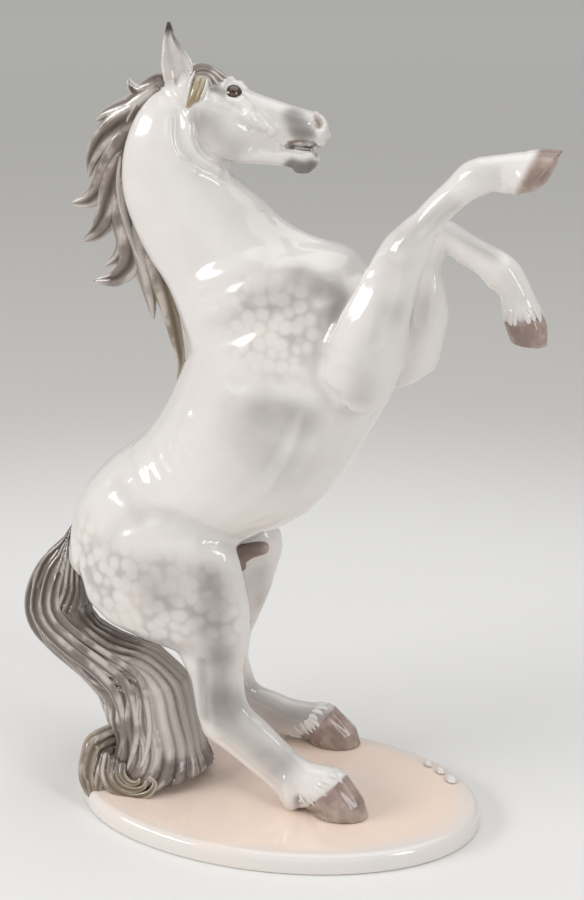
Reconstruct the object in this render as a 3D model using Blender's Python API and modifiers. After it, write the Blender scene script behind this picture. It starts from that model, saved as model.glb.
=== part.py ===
"""Rearing horse figurine in glazed porcelain, modelled as its cast members.

Frame: metres, +Z up. The origin is the middle of the plinth's underside, the horse faces +X and
its left side is +Y. Each member is a loft along a bone. A bone is a length with a pitch above the
ground and a splay toward the horse's left. Members are seated on each other with a thin seam.
"""

import math
from collections import namedtuple

import bmesh
import bpy
from mathutils import Matrix, Vector

MM = 0.001

# Seams and cast walls. Facets bring two curved neighbours nearer than their rings, so a clearance
# cutter is grown by a little more than the seam.
SEAM = 0.3 * MM
CUT_MARGIN = 0.39 * MM
CAST_WALL = 4.0 * MM
MOUTH_RADIUS = 8.0 * MM
MOUTH_BELOW = 40.0 * MM
MOUTH_ABOVE = 28.0 * MM
VENT_RADIUS = 1.5 * MM
VENT_ALONG = 0.19
VENT_LENGTH = 54.0 * MM

# Plinth
PLINTH_LENGTH = 185.0 * MM
PLINTH_WIDTH = 119.0 * MM
PLINTH_HEIGHT = 9.0 * MM
PLINTH_ROUNDING = 3.2 * MM
PLINTH_ROUNDING_STEPS = 3
FOOT_ROUNDING = 0.8 * MM
FOOT_RIM_WIDTH = 7.0 * MM
FOOT_RECESS_DEPTH = 2.5 * MM
PLINTH_SEGMENTS = 48
PEBBLE_HEIGHT = 2.6 * MM
PEBBLE_RIM_INSET = 7.0 * MM
PEBBLE_SIDES = 10
PEBBLE_RINGS = 6

# Body
MIDLINE_Y = 10.0 * MM
RUMP_X = -62.0 * MM
RUMP_ABOVE_PLINTH = 91.0 * MM
SPINE_LENGTH = 170.0 * MM
SPINE_PITCH = 58.0
NECK_ROOT_ALONG = 0.80
NECK_ROOT_ACROSS = -21.0 * MM
NECK_LENGTH = 96.8 * MM
NECK_PITCH = 108.0
NECK_SPLAY = -1.0
HEAD_LENGTH = 54.5 * MM
HEAD_PITCH = -11.8
HEAD_YAW = 10.0
HEAD_ROLL = 14.0
EAR_LENGTH = 22.5 * MM
EAR_SPREAD = 12.0 * MM
EAR_ALONG = -0.14
EAR_ACROSS = -9.5 * MM
EAR_SPLAY = 4.0
RIGHT_EAR_PITCH = 98.0
LEFT_EAR_PITCH = 108.0

# Forelegs: the elbows sit across the spine line and to each side of the midline
ELBOW_ALONG = 0.875
RIGHT_ELBOW_ACROSS = 33.0 * MM
LEFT_ELBOW_ACROSS = 42.0 * MM
ELBOW_SPREAD = 48.0 * MM

# Hind legs: each rises from its hoof on the plinth to the hock, and the thigh closes to the hip
HIP_ALONG = 0.11
HIP_ACROSS = -6.0 * MM
HIP_SPREAD = 36.0 * MM
HIND_CANNON_SPLAY = 4.0
HIND_CORONET_SETBACK = 4.3 * MM
HIND_CORONET_RISE = 7.3 * MM
HIND_HOOF_LENGTH = 27.0 * MM
HIND_HOOF_WIDTH = 19.0 * MM
HIND_HOOF_HEIGHT = 16.0 * MM

# Tail and mane
DOCK_ALONG = -0.01
DOCK_ACROSS = -36.0 * MM
TAIL_FOOT_INSET = 28.5 * MM
TAIL_FOOT_Y = -1.0 * MM
MANE_HEIGHT = 7.0 * MM
MANE_WIDTH = 11.0 * MM
# The crest of hair starts at a share of its height and gains another share with each ring
MANE_AT_WITHERS = (0.45, 0.25)
MANE_AT_POLL = (0.60, 0.15)
SHEATH_ALONG = 0.225
SHEATH_ACROSS = 23.0 * MM
SHEATH_LENGTH = 18.0 * MM
SHEATH_PITCH = 10.0

# Facets: sides of a cross-section, and steps from one named section to the next
Facets = namedtuple("Facets", "sides steps")
BODY = Facets(22, 2)
LIMB = Facets(14, 1)
LOCK = Facets(8, 1)
SHARP_ANGLE = 40.0

# A cross-section crosses its member's rear outline and its front outline. Each crossing is a share
# of the bone's length and a distance to its front in millimetres. The width is in millimetres too.
Section = namedtuple("Section", "rear_along rear front_along front width")

TORSO = (
    Section(-0.10, -30, -0.09, -17, 12),
    Section(-0.07, -38, -0.04, -8, 36),
    Section(-0.02, -42, 0.06, 3, 50),
    Section(0.05, -46.5, 0.15, 16, 58),
    Section(0.14, -48.5, 0.24, 24, 61),
    Section(0.25, -45, 0.34, 33, 64),
    Section(0.36, -38.5, 0.44, 41.5, 67),
    Section(0.49, -38, 0.58, 44.5, 66),
    Section(0.61, -41.5, 0.71, 43, 62),
    Section(0.70, -43, 0.84, 41.5, 58),
    Section(0.83, -36, 0.95, 35, 50),
    Section(0.95, -20, 1.03, 22, 34),
    Section(1.01, -8, 1.06, 10, 16),
)

NECK = (
    Section(0.01, -36.5, -0.15, 46.5, 44),
    Section(0.12, -35, 0.08, 48.5, 46),
    Section(0.25, -36, 0.20, 41.5, 42),
    Section(0.37, -39.5, 0.29, 29, 36),
    Section(0.50, -41.5, 0.39, 21, 32),
    Section(0.64, -42, 0.51, 14.5, 29),
    Section(0.76, -40, 0.61, 8, 27),
    Section(0.90, -34, 0.67, 6, 25),
    Section(1.02, -24, 0.72, 3.5, 23),
    Section(1.08, -15, 0.82, 4, 18),
)

HEAD = (
    Section(-0.22, -3.5, -0.06, 13.5, 14),
    Section(-0.16, -12, 0.01, 15, 18),
    Section(-0.03, -14, 0.11, 20.5, 21),
    Section(0.08, -14, 0.24, 24, 23),
    Section(0.21, -11.5, 0.40, 23, 24),
    Section(0.35, -9, 0.50, 16, 22),
    Section(0.47, -7.5, 0.58, 13, 18.5),
    Section(0.62, -6.5, 0.71, 11, 16),
    Section(0.78, -5.5, 0.85, 9.5, 15),
    Section(0.92, -5, 0.96, 8.5, 15),
    Section(1.03, -1, 1.03, 7, 12),
)

LOWER_JAW = (
    Section(0.40, 15, 0.42, 22.5, 11),
    Section(0.59, 13, 0.62, 20.5, 11),
    Section(0.77, 12.5, 0.78, 19.5, 10),
    Section(0.88, 11.5, 0.90, 20, 10),
    Section(0.97, 11, 0.98, 19, 9),
    Section(1.02, 11, 1.02, 15.5, 6),
)

RIGHT_FOREARM = (
    Section(-0.22, -9, -0.21, 2, 10),
    Section(-0.06, -22, -0.08, 8, 21),
    Section(0.16, -23.5, 0.19, 10, 27),
    Section(0.37, -20.5, 0.49, 6.5, 23),
    Section(0.58, -17, 0.72, 6, 17.5),
    Section(0.80, -15, 0.91, 7, 14.5),
    Section(0.93, -12.5, 1.06, 8, 14),
    Section(1.03, -8.5, 1.13, 7.5, 11),
)

# Below a knee, a hock or a coronet a member starts from the last ring of the one above it, so its
# own table starts past the joint.
RIGHT_FORE_CANNON = (
    Section(0.14, -9, 0.36, 0, 12.5),
    Section(0.37, -12, 0.48, -1, 11),
    Section(0.62, -15, 0.66, 0.5, 12.5),
    Section(0.75, -14, 0.76, 1, 13),
    Section(0.88, -11, 0.80, -0.5, 11.5),
    Section(1.00, -8.5, 0.81, 2, 12.5),
    Section(1.15, -5, 0.82, 4.5, 14),
)

RIGHT_FORE_HOOF = (
    Section(0.71, -6.5, -0.30, 8.5, 15.5),
    Section(1.05, -5, -0.21, 9, 16),
)

LEFT_FOREARM = (
    Section(-0.25, -15, -0.15, 1, 12),
    Section(-0.05, -13, 0.01, 10, 20),
    Section(0.16, -10.5, 0.23, 11, 22),
    Section(0.37, -9, 0.42, 11.5, 20),
    Section(0.56, -9, 0.61, 8, 17),
    Section(0.76, -9, 0.76, 4.5, 14.5),
    Section(0.96, -8.5, 0.87, 5.5, 14),
    Section(1.10, -5.5, 0.90, 5.5, 13.5),
    Section(1.15, -2.5, 0.92, 5.5, 13),
)

LEFT_FORE_CANNON = (
    Section(0.03, -9, 0.27, 2.5, 14),
    Section(0.21, -10.5, 0.44, 0.5, 12),
    Section(0.37, -12.5, 0.56, 0.5, 11),
    Section(0.53, -15, 0.64, 1.5, 13),
    Section(0.68, -15.5, 0.68, 0.5, 13),
    Section(0.83, -13, 0.74, 0, 11.5),
    Section(0.98, -10, 0.82, 3.5, 12.5),
    Section(1.12, -7, 0.90, 7, 14.5),
)

LEFT_FORE_HOOF = (
    Section(0.55, -9.5, 0.36, 8, 16),
    Section(1.15, -7.5, 0.72, 7.5, 15.5),
)

RIGHT_THIGH = (
    Section(-0.36, 2, -0.27, -30, 14),
    Section(-0.28, 21, 0.00, -41.5, 26),
    Section(-0.12, 33.5, 0.17, -40, 31),
    Section(0.08, 36.5, 0.34, -36.5, 32),
    Section(0.24, 31.5, 0.45, -34, 31),
    Section(0.39, 20.5, 0.53, -31, 27),
    Section(0.53, 7, 0.64, -26, 21.5),
    Section(0.71, 7, 0.77, -17, 16.5),
    Section(0.90, 12, 0.95, -12, 15),
    Section(1.03, 14, 1.03, -14, 14),
)

LEFT_THIGH = (
    Section(-0.30, 10, -0.29, -22, 14),
    Section(-0.16, 32, -0.05, -42, 26),
    Section(0.02, 39.5, 0.13, -50, 30),
    Section(0.22, 37, 0.23, -48, 31),
    Section(0.39, 29, 0.32, -43, 29),
    Section(0.52, 20, 0.44, -37, 25),
    Section(0.64, 9, 0.57, -29, 20.5),
    Section(0.80, 6, 0.71, -19.5, 16.5),
    Section(0.93, 8.5, 0.86, -13.5, 15),
    Section(1.04, 9.5, 0.98, -13, 14),
)

RIGHT_HIND_CANNON = (
    Section(0.03, 13.5, 0.22, -11, 14),
    Section(0.16, 13, 0.34, -10, 12.5),
    Section(0.33, 13.5, 0.49, -8.5, 11.5),
    Section(0.50, 13.5, 0.61, -8, 12),
    Section(0.66, 15, 0.72, -8, 14),
    Section(0.76, 18.5, 0.84, -12, 15),
    Section(0.86, 13, 0.98, -15, 15.5),
)

LEFT_HIND_CANNON = (
    Section(0.00, 10.5, 0.24, -5, 14),
    Section(0.11, 11, 0.32, -4, 12.5),
    Section(0.29, 12, 0.45, -5, 11.5),
    Section(0.50, 14.5, 0.63, -5.5, 13),
    Section(0.66, 14.5, 0.80, -8.5, 14.5),
    Section(0.79, 11.5, 0.97, -13, 15),
)

TAIL = (
    Section(-0.09, 2, 0.04, -3, 10),
    Section(-0.02, 10, 0.11, 0.5, 15),
    Section(0.03, 20, 0.22, 5, 19),
    Section(0.11, 29.5, 0.32, 7, 23),
    Section(0.25, 36, 0.37, 4, 26),
    Section(0.40, 32.5, 0.43, -5, 29),
    Section(0.52, 22, 0.51, -21.5, 32),
    Section(0.65, 12.5, 0.64, -32.5, 35),
    Section(0.82, 10, 0.84, -32, 40),
    Section(0.97, 17, 0.95, -32, 47),
    Section(1.06, 26, 1.02, -34, 50),
)

SHEATH = (
    Section(-0.30, -3, -0.25, 6, 8),
    Section(0.30, -3.5, 0.10, 8, 9),
    Section(0.75, -3.5, 0.65, 4.5, 7.5),
    Section(1.00, -3, 1.00, 3, 5),
)

FORELOCK = (
    Section(-0.25, -2, -0.20, 3, 6),
    Section(0.10, -3, 0.15, 4, 12),
    Section(0.50, -2.5, 0.50, 4, 12),
    Section(0.85, -1.5, 0.85, 3.5, 8),
    Section(1.05, 0, 1.05, 3, 4),
)

# A leg's segments, each with its length, its pitch and its sections
Segment = namedtuple("Segment", "length pitch sections")
ForeLeg = namedtuple("ForeLeg", "side hand elbow_across forearm cannon hoof")
HindLeg = namedtuple("HindLeg", "side hand hoof_x hoof_y thigh cannon")

FORELEGS = (
    ForeLeg(
        "right", -1, RIGHT_ELBOW_ACROSS,
        Segment(65.2 * MM, 74.4, RIGHT_FOREARM),
        Segment(48.7 * MM, 34.2, RIGHT_FORE_CANNON),
        Segment(16.0 * MM, 12.8, RIGHT_FORE_HOOF),
    ),
    ForeLeg(
        "left", 1, LEFT_ELBOW_ACROSS,
        Segment(58.0 * MM, 82.0, LEFT_FOREARM),
        Segment(49.3 * MM, -40.9, LEFT_FORE_CANNON),
        Segment(14.0 * MM, -73.4, LEFT_FORE_HOOF),
    ),
)

# A hind cannon's pitch is the one from its coronet up to its hock
HIND_LEGS = (
    HindLeg("right", -1, 33.0 * MM, -18.0 * MM, RIGHT_THIGH, Segment(57.0 * MM, 148.2, RIGHT_HIND_CANNON)),
    HindLeg("left", 1, 14.5 * MM, 47.0 * MM, LEFT_THIGH, Segment(51.0 * MM, 156.4, LEFT_HIND_CANNON)),
)

# A hind hoof's rings as shares of its length, height and width: heel, toe, heel rise, toe rise, width
HIND_HOOF_LEVELS = (
    (-0.47, 0.42, 0.10, 0.45, 0.95),
    (-0.48, 0.50, 0.0, 0.0, 1.0),
)

# An ear's rings: share of its length, half depth and half width in millimetres
EAR_LEVELS = ((0.0, 4.0, 3.6), (0.2, 4.9, 4.2), (0.5, 4.3, 3.6), (0.8, 2.2, 2.0), (1.0, 0.5, 0.5))

# A free lock of hair leaves its root at a pitch, turns by so much to its tip, and leans to the left
Lock = namedtuple("Lock", "pitch turn length thickness lean")
LOCK_STEPS = 6
LOCK_TIP = 0.5 * MM
LOCK_FLATNESS = 0.75
LOCK_ROOT_SHARE = 0.85
LOCK_SWELL = 0.6
LOCK_TAPER = 0.7

# The mane's free locks, each with its root's share of the crest from the withers to the poll
MANE_LOCKS = (
    (0.97, Lock(140, 22, 15.0 * MM, 9.0 * MM, -6)),
    (0.87, Lock(172, 38, 23.0 * MM, 11.0 * MM, 8)),
    (0.77, Lock(195, 50, 29.0 * MM, 12.0 * MM, -8)),
    (0.68, Lock(228, -24, 33.0 * MM, 12.5 * MM, 6)),
    (0.58, Lock(244, -16, 34.0 * MM, 12.0 * MM, -6)),
    (0.48, Lock(240, 14, 29.0 * MM, 11.0 * MM, 8)),
    (0.38, Lock(246, -34, 32.0 * MM, 11.0 * MM, -7)),
    (0.26, Lock(258, 14, 26.0 * MM, 11.0 * MM, 5)),
    (0.16, Lock(262, 16, 42.0 * MM, 10.0 * MM, -3)),
)

# The forelock runs between two points of the head; one lock hangs from it on the near cheek
FORELOCK_START = (-0.06, -15.5 * MM)
FORELOCK_END = (0.28, -12.5 * MM)
HANGING_ROOT = (0.04, -12.0 * MM, -9.5 * MM)
HANGING_LOCK = Lock(290, -16, 18.0 * MM, 7.0 * MM, -44)

# Two locks leave the tail's foot: one falls over the plinth's near edge, one curls on its top
SIDE_LOCK_ROOT = Vector((-8.0, -13.0, 27.0)) * MM
SIDE_LOCK = Lock(214, 76, 42.0 * MM, 12.0 * MM, -58)
CURL_ROOT = Vector((4.0, -24.0, 5.0)) * MM
CURL = Lock(188, -30, 24.0 * MM, 8.0 * MM, 6)

# The plinth's pebbles: bearing round the plinth from +X, in degrees, and length
PEBBLES = ((28.0, 9.0 * MM), (36.0, 7.0 * MM), (43.0, 6.0 * MM))

PORCELAIN = ("porcelain_white", (0.80, 0.78, 0.76), 0.16)
BISCUIT_BLUSH = ("plinth_blush", (0.78, 0.64, 0.56), 0.20)
HAIR_GREY = ("hair_grey", (0.30, 0.26, 0.25), 0.20)
HOOF_BROWN = ("hoof_brown", (0.29, 0.20, 0.18), 0.20)
SKIN_GREY = ("skin_grey", (0.36, 0.31, 0.29), 0.20)


def clear_scene():
    for old in list(bpy.data.objects):
        bpy.data.objects.remove(old, do_unlink=True)


def new_collection(name):
    group = bpy.data.collections.new(name)
    bpy.context.scene.collection.children.link(group)
    return group


def material(finish):
    name, colour, roughness = finish
    made = bpy.data.materials.get(name) or bpy.data.materials.new(name)
    made.use_nodes = True
    shader = made.node_tree.nodes["Principled BSDF"]
    shader.inputs["Base Color"].default_value = (*colour, 1.0)
    shader.inputs["Roughness"].default_value = roughness
    shader.inputs["Metallic"].default_value = 0.0
    return made


def heading(pitch, splay=0.0):
    """Unit vector at a pitch above +X and a splay toward +Y, both in degrees."""
    p = math.radians(pitch)
    s = math.radians(splay)
    return Vector((math.cos(p) * math.cos(s), math.sin(s), math.sin(p) * math.cos(s)))


class Bone:
    """A member's straight guide: its start, its end, and the horse's left side across it."""

    def __init__(self, start, end, side=Vector((0, 1, 0)), end_side=None):
        self.start = start
        self.end = end
        self.length = (end - start).length
        self.along = (end - start).normalized()
        self.sides = (self.square(side), self.square(end_side or side))
        self.side = self.sides[0]
        self.front = self.side.cross(self.along)

    def square(self, side):
        return (side - side.dot(self.along) * self.along).normalized()

    def side_at(self, share):
        share = min(max(share, 0.0), 1.0)
        return self.sides[0].lerp(self.sides[1], share).normalized()

    def point(self, share, front=0.0, left=0.0):
        side = self.side_at(share)
        offset = front * side.cross(self.along) + left * side
        return self.start + share * self.length * self.along + offset


class Ring:
    """One cross-section in space: its rear and front points and its half width to the left."""

    def __init__(self, rear, front, left):
        self.rear = rear
        self.front = front
        self.left = left

    @property
    def middle(self):
        return (self.rear + self.front) / 2

    def grown(self, margin, shift=Vector()):
        """The ring made larger all round by a margin, or smaller by a negative one, and moved."""
        out = (self.front - self.rear).normalized() * margin
        left = self.left + self.left.normalized() * margin
        return Ring(self.rear - out + shift, self.front + out + shift, left)

    def points(self, sides):
        middle = self.middle
        reach = (self.front - self.rear) / 2
        for i in range(sides):
            turn = 2 * math.pi * i / sides
            yield middle + math.cos(turn) * reach + math.sin(turn) * self.left


def rings_of(bone, sections):
    rings = []
    for s in sections:
        rear = bone.point(s.rear_along, s.rear * MM)
        front = bone.point(s.front_along, s.front * MM)
        side = bone.side_at((s.rear_along + s.front_along) / 2)
        rings.append(Ring(rear, front, side * s.width * MM / 2))
    return rings


def glide(a, b, c, d, t):
    """Smooth curve from b to c, where a and d are the values before and after them."""
    t2 = t * t
    t3 = t2 * t
    return 0.5 * (2 * b + (c - a) * t + (2 * a - 5 * b + 4 * c - d) * t2 + (3 * b - a - 3 * c + d) * t3)


def smooth_rings(rings, steps):
    """The named rings with rings between them, on smooth curves through their outlines."""
    last = len(rings) - 1
    made = []
    for i in range(last):
        four = [rings[min(max(i + k, 0), last)] for k in (-1, 0, 1, 2)]
        for step in range(steps):
            t = step / steps
            made.append(
                Ring(
                    glide(*(r.rear for r in four), t),
                    glide(*(r.front for r in four), t),
                    glide(*(r.left for r in four), t),
                )
            )
    made.append(rings[last])
    return made


def grown_rings(rings, margin):
    """The rings made larger by a margin, with the end ones moved out by it too."""
    made = [ring.grown(margin) for ring in rings]
    start_out = (rings[0].middle - rings[1].middle).normalized() * margin
    end_out = (rings[-1].middle - rings[-2].middle).normalized() * margin
    made[0] = rings[0].grown(margin, start_out)
    made[-1] = rings[-1].grown(margin, end_out)
    return made


def hollow_rings(rings):
    """The cast wall's inner face."""
    return smooth_rings([ring.grown(-CAST_WALL) for ring in rings], LIMB.steps)


def joined_rings(above, bone, sections):
    """The rings of a member that starts a seam past the last ring of the one above it."""
    own = rings_of(bone, sections)
    onward = (own[0].middle - above[-1].middle).normalized()
    return [above[-1].grown(0.0, onward * CUT_MARGIN), *own]


def add_mesh(name, mesh_data, group, finish=None):
    mesh = bpy.data.meshes.new(name)
    bmesh.ops.recalc_face_normals(mesh_data, faces=mesh_data.faces)
    mesh_data.to_mesh(mesh)
    mesh_data.free()
    made = bpy.data.objects.new(name, mesh)
    group.objects.link(made)
    if finish:
        mesh.materials.append(material(finish))
        mesh.shade_smooth()
        mesh.set_sharp_from_angle(angle=math.radians(SHARP_ANGLE))
    else:
        made.hide_render = True
        made.display_type = "WIRE"
    return made


def loft(name, rings, sides, group, finish=None):
    """A closed body through the rings. Rings of unlike shapes leave no primitive to start from."""
    shape = bmesh.new()
    loops = [[shape.verts.new(p) for p in ring.points(sides)] for ring in rings]
    for low, high in zip(loops, loops[1:]):
        for i in range(sides):
            j = (i + 1) % sides
            shape.faces.new((low[i], low[j], high[j], high[i]))
    shape.faces.new(reversed(loops[0]))
    shape.faces.new(loops[-1])
    return add_mesh(name, shape, group, finish)


def cut(piece, *cutters):
    for cutter in cutters:
        step = piece.modifiers.new(cutter.name, "BOOLEAN")
        step.operation = "DIFFERENCE"
        step.solver = "EXACT"
        step.object = cutter


def cylinder_cutter(name, low, high, radius, group):
    """A straight round cutter between two points."""
    shape = bmesh.new()
    axis = high - low
    place = Matrix.Translation((low + high) / 2) @ axis.to_track_quat("Z", "Y").to_matrix().to_4x4()
    bmesh.ops.create_cone(
        shape, cap_ends=True, segments=LIMB.sides, radius1=radius, radius2=radius,
        depth=axis.length, matrix=place,
    )
    return add_mesh(name, shape, group)


def oval_slab(name, length, width, low, high, group, finish=None):
    """An upright oval slab between two heights."""
    shape = bmesh.new()
    place = Matrix.Translation((0, 0, (low + high) / 2)) @ Matrix.Diagonal((length, width, 1, 1))
    bmesh.ops.create_cone(
        shape, cap_ends=True, segments=PLINTH_SEGMENTS, radius1=0.5, radius2=0.5,
        depth=high - low, matrix=place,
    )
    return add_mesh(name, shape, group, finish)


class Figure:
    """Keeps the members and their clearance cutters while the figure is put together."""

    def __init__(self):
        self.parts = new_collection("rearing_horse_figurine")
        self.cutters = new_collection("cutters")
        self.clearances = {}

    def member(self, name, rings, facets, finish, seated_on=()):
        """A lofted member, cut back by a seam from each member that it is seated on."""
        rings = smooth_rings(rings, facets.steps)
        piece = loft(name, rings, facets.sides, self.parts, finish)
        grown = grown_rings(rings, CUT_MARGIN)
        clearance = loft(name + "_clearance", grown, facets.sides, self.cutters)
        self.clearances[name] = clearance
        cut(piece, *(self.clearances[other] for other in seated_on))
        return piece


def build_plinth(figure):
    plinth = oval_slab(
        "plinth", PLINTH_LENGTH, PLINTH_WIDTH, 0, PLINTH_HEIGHT, figure.parts, BISCUIT_BLUSH
    )
    weights = plinth.data.attributes.new("bevel_weight_edge", "FLOAT", "EDGE")
    for edge in plinth.data.edges:
        heights = [plinth.data.vertices[v].co.z for v in edge.vertices]
        if max(heights) - min(heights) < MM:
            weights.data[edge.index].value = 1.0 if heights[0] > MM else FOOT_ROUNDING / PLINTH_ROUNDING
    rounding = plinth.modifiers.new("rounded_rim", "BEVEL")
    rounding.limit_method = "WEIGHT"
    rounding.width = PLINTH_ROUNDING
    rounding.segments = PLINTH_ROUNDING_STEPS
    inset = 2 * FOOT_RIM_WIDTH
    recess = oval_slab(
        "foot_recess", PLINTH_LENGTH - inset, PLINTH_WIDTH - inset, -MM, FOOT_RECESS_DEPTH, figure.cutters
    )
    cut(plinth, recess)
    room = 2 * SEAM
    figure.clearances["plinth"] = oval_slab(
        "plinth_clearance", PLINTH_LENGTH + room, PLINTH_WIDTH + room,
        -PLINTH_HEIGHT, PLINTH_HEIGHT + SEAM, figure.cutters,
    )


def build_pebbles(figure):
    """Three low domes of relief inside the rim."""
    floor = PLINTH_HEIGHT + SEAM
    for number, (bearing, length) in enumerate(PEBBLES, start=1):
        turn = math.radians(bearing)
        reach_x = PLINTH_LENGTH / 2 - PEBBLE_RIM_INSET
        reach_y = PLINTH_WIDTH / 2 - PEBBLE_RIM_INSET
        place = Matrix.Translation((reach_x * math.cos(turn), reach_y * math.sin(turn), floor))
        spin = Matrix.Rotation(turn + math.radians(90), 4, "Z")
        size = Matrix.Diagonal((length / 2, length / 3, PEBBLE_HEIGHT, 1))
        shape = bmesh.new()
        bmesh.ops.create_uvsphere(
            shape, u_segments=PEBBLE_SIDES, v_segments=PEBBLE_RINGS, radius=1.0, matrix=place @ spin @ size
        )
        bmesh.ops.bisect_plane(
            shape, geom=shape.verts[:] + shape.edges[:] + shape.faces[:], dist=1e-7,
            plane_co=(0, 0, floor), plane_no=(0, 0, 1), clear_inner=True,
        )
        bmesh.ops.holes_fill(shape, edges=[e for e in shape.edges if e.is_boundary])
        add_mesh(f"plinth_pebble_{number}", shape, figure.parts, PORCELAIN)


def build_torso(figure, spine, neck):
    """The trunk, cast hollow, with its mouth up into the neck and a vent under the belly."""
    rings = rings_of(spine, TORSO)
    torso = figure.member("torso", rings, BODY, PORCELAIN)
    cavity = loft("torso_cavity", hollow_rings(rings[2:-2]), LIMB.sides, figure.cutters)
    mouth_low = neck.start - Vector((0, 0, MOUTH_BELOW))
    mouth_top = neck.start + neck.along * MOUTH_ABOVE
    mouth = cylinder_cutter("casting_mouth", mouth_low, mouth_top, MOUTH_RADIUS, figure.cutters)
    vent_top = spine.point(VENT_ALONG)
    vent_low = vent_top - Vector((0, 0, VENT_LENGTH))
    vent = cylinder_cutter("vent_bore", vent_low, vent_top, VENT_RADIUS, figure.cutters)
    cut(torso, cavity, mouth, vent)


def build_neck(figure, neck):
    rings = rings_of(neck, NECK)
    piece = figure.member("neck", rings, BODY, PORCELAIN, ("torso", "head"))
    cut(piece, loft("neck_cavity", hollow_rings(rings[:-3]), LIMB.sides, figure.cutters))


def build_head(figure, head):
    figure.member("head", rings_of(head, HEAD), BODY, PORCELAIN)
    figure.member("lower_jaw", rings_of(head, LOWER_JAW), LIMB, PORCELAIN, ("head",))


def ear_rings(bone):
    """An upright leaf, widest low down, drawn in to a point."""
    rings = []
    for share, deep, wide in EAR_LEVELS:
        middle = bone.point(share)
        reach = bone.front * deep * MM
        rings.append(Ring(middle - reach, middle + reach, bone.side * wide * MM))
    return rings


def build_ears(figure, head):
    """Two pricked ears; the left one lies a little further back."""
    for name, hand, pitch in (("right_ear", -1, RIGHT_EAR_PITCH), ("left_ear", 1, LEFT_EAR_PITCH)):
        root = head.point(EAR_ALONG, EAR_ACROSS, hand * EAR_SPREAD / 2)
        tip = root + EAR_LENGTH * heading(pitch, hand * EAR_SPLAY)
        figure.member(name, ear_rings(Bone(root, tip, head.side)), LOCK, PORCELAIN, ("head", "neck"))


def lock_rings(root, lock):
    """A lock of hair along an arc: it swells after its root and thins to its tip."""
    rings = []
    place = root.copy()
    for i in range(LOCK_STEPS + 1):
        share = i / LOCK_STEPS
        out = heading(lock.pitch + lock.turn * share, lock.lean * share)
        left = Vector((0, 1, 0))
        left = (left - left.dot(out) * out).normalized()
        front = left.cross(out)
        profile = (1.0 - share) ** LOCK_TAPER * (LOCK_ROOT_SHARE + LOCK_SWELL * share)
        swell = lock.thickness / 2 * profile + LOCK_TIP
        rings.append(Ring(place - front * swell, place + front * swell, left * swell * LOCK_FLATNESS))
        place = place + out * lock.length / LOCK_STEPS
    return rings


def crest_of(neck):
    """The crest's points from the withers to the poll, each with its way out of the neck."""
    points = [ring.rear for ring in smooth_rings(rings_of(neck, NECK), BODY.steps)]
    crest = []
    for i, point in enumerate(points):
        run = (points[min(i + 1, len(points) - 1)] - points[max(i - 1, 0)]).normalized()
        crest.append((point, neck.side.cross(run) * -1))
    return crest


def build_mane(figure, neck):
    """The ridge of hair on the crest, thinner at the withers and the poll, and its free locks."""
    crest = crest_of(neck)
    rings = []
    for i, (point, out) in enumerate(crest[1:]):
        from_poll = len(crest) - 2 - i
        fade = min(
            1.0,
            MANE_AT_WITHERS[0] + MANE_AT_WITHERS[1] * i,
            MANE_AT_POLL[0] + MANE_AT_POLL[1] * from_poll,
        )
        outer = point + out * MANE_HEIGHT * fade
        inner = point - out * MANE_HEIGHT / 2
        rings.append(Ring(outer, inner, neck.side * MANE_WIDTH * fade / 2))
    seats = ["neck", "head", "torso", "right_ear", "left_ear"]
    figure.member("mane_crest", rings[::2], LIMB, HAIR_GREY, seats)
    seats.append("mane_crest")
    for number, (crest_at, lock) in enumerate(MANE_LOCKS, start=1):
        point, out = crest[round(crest_at * (len(crest) - 1))]
        name = f"mane_lock_{number}"
        figure.member(name, lock_rings(point + out * MANE_HEIGHT / 2, lock), LOCK, HAIR_GREY, seats)
        seats.append(name)


def build_forelock(figure, head):
    """The tuft that falls forward over the poll, and the lock that hangs on the near cheek."""
    bone = Bone(head.point(*FORELOCK_START), head.point(*FORELOCK_END), head.side)
    seats = ["head", "neck", "right_ear", "left_ear"]
    figure.member("forelock", rings_of(bone, FORELOCK), LOCK, HAIR_GREY, seats)
    seats += ["forelock", "mane_crest"]
    rings = lock_rings(head.point(*HANGING_ROOT), HANGING_LOCK)
    figure.member("forelock_lock", rings, LOCK, HAIR_GREY, seats)


def build_forelegs(figure, spine):
    for leg in FORELEGS:
        elbow = spine.point(ELBOW_ALONG, leg.elbow_across, leg.hand * ELBOW_SPREAD / 2)
        knee = elbow + leg.forearm.length * heading(leg.forearm.pitch)
        coronet = knee + leg.cannon.length * heading(leg.cannon.pitch)
        toe = coronet + leg.hoof.length * heading(leg.hoof.pitch)
        forearm = rings_of(Bone(elbow, knee), leg.forearm.sections)
        cannon = joined_rings(forearm, Bone(knee, coronet), leg.cannon.sections)
        hoof = joined_rings(cannon, Bone(coronet, toe), leg.hoof.sections)
        figure.member(f"{leg.side}_forearm", forearm, LIMB, PORCELAIN, ("torso", "neck"))
        figure.member(f"{leg.side}_fore_cannon", cannon, LIMB, PORCELAIN)
        figure.member(f"{leg.side}_fore_hoof", hoof, LIMB, HOOF_BROWN)


def hind_hoof_rings(above, sole):
    """The wall and the flat sole of a hoof that stands on the plinth."""
    rings = [above[-1].grown(0.0, (sole - above[-1].middle).normalized() * CUT_MARGIN)]
    for heel, toe, heel_rise, toe_rise, wide in HIND_HOOF_LEVELS:
        rear = sole + Vector((heel * HIND_HOOF_LENGTH, 0, heel_rise * HIND_HOOF_HEIGHT))
        front = sole + Vector((toe * HIND_HOOF_LENGTH, 0, toe_rise * HIND_HOOF_HEIGHT))
        rings.append(Ring(rear, front, Vector((0, wide * HIND_HOOF_WIDTH / 2, 0))))
    return rings


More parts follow.
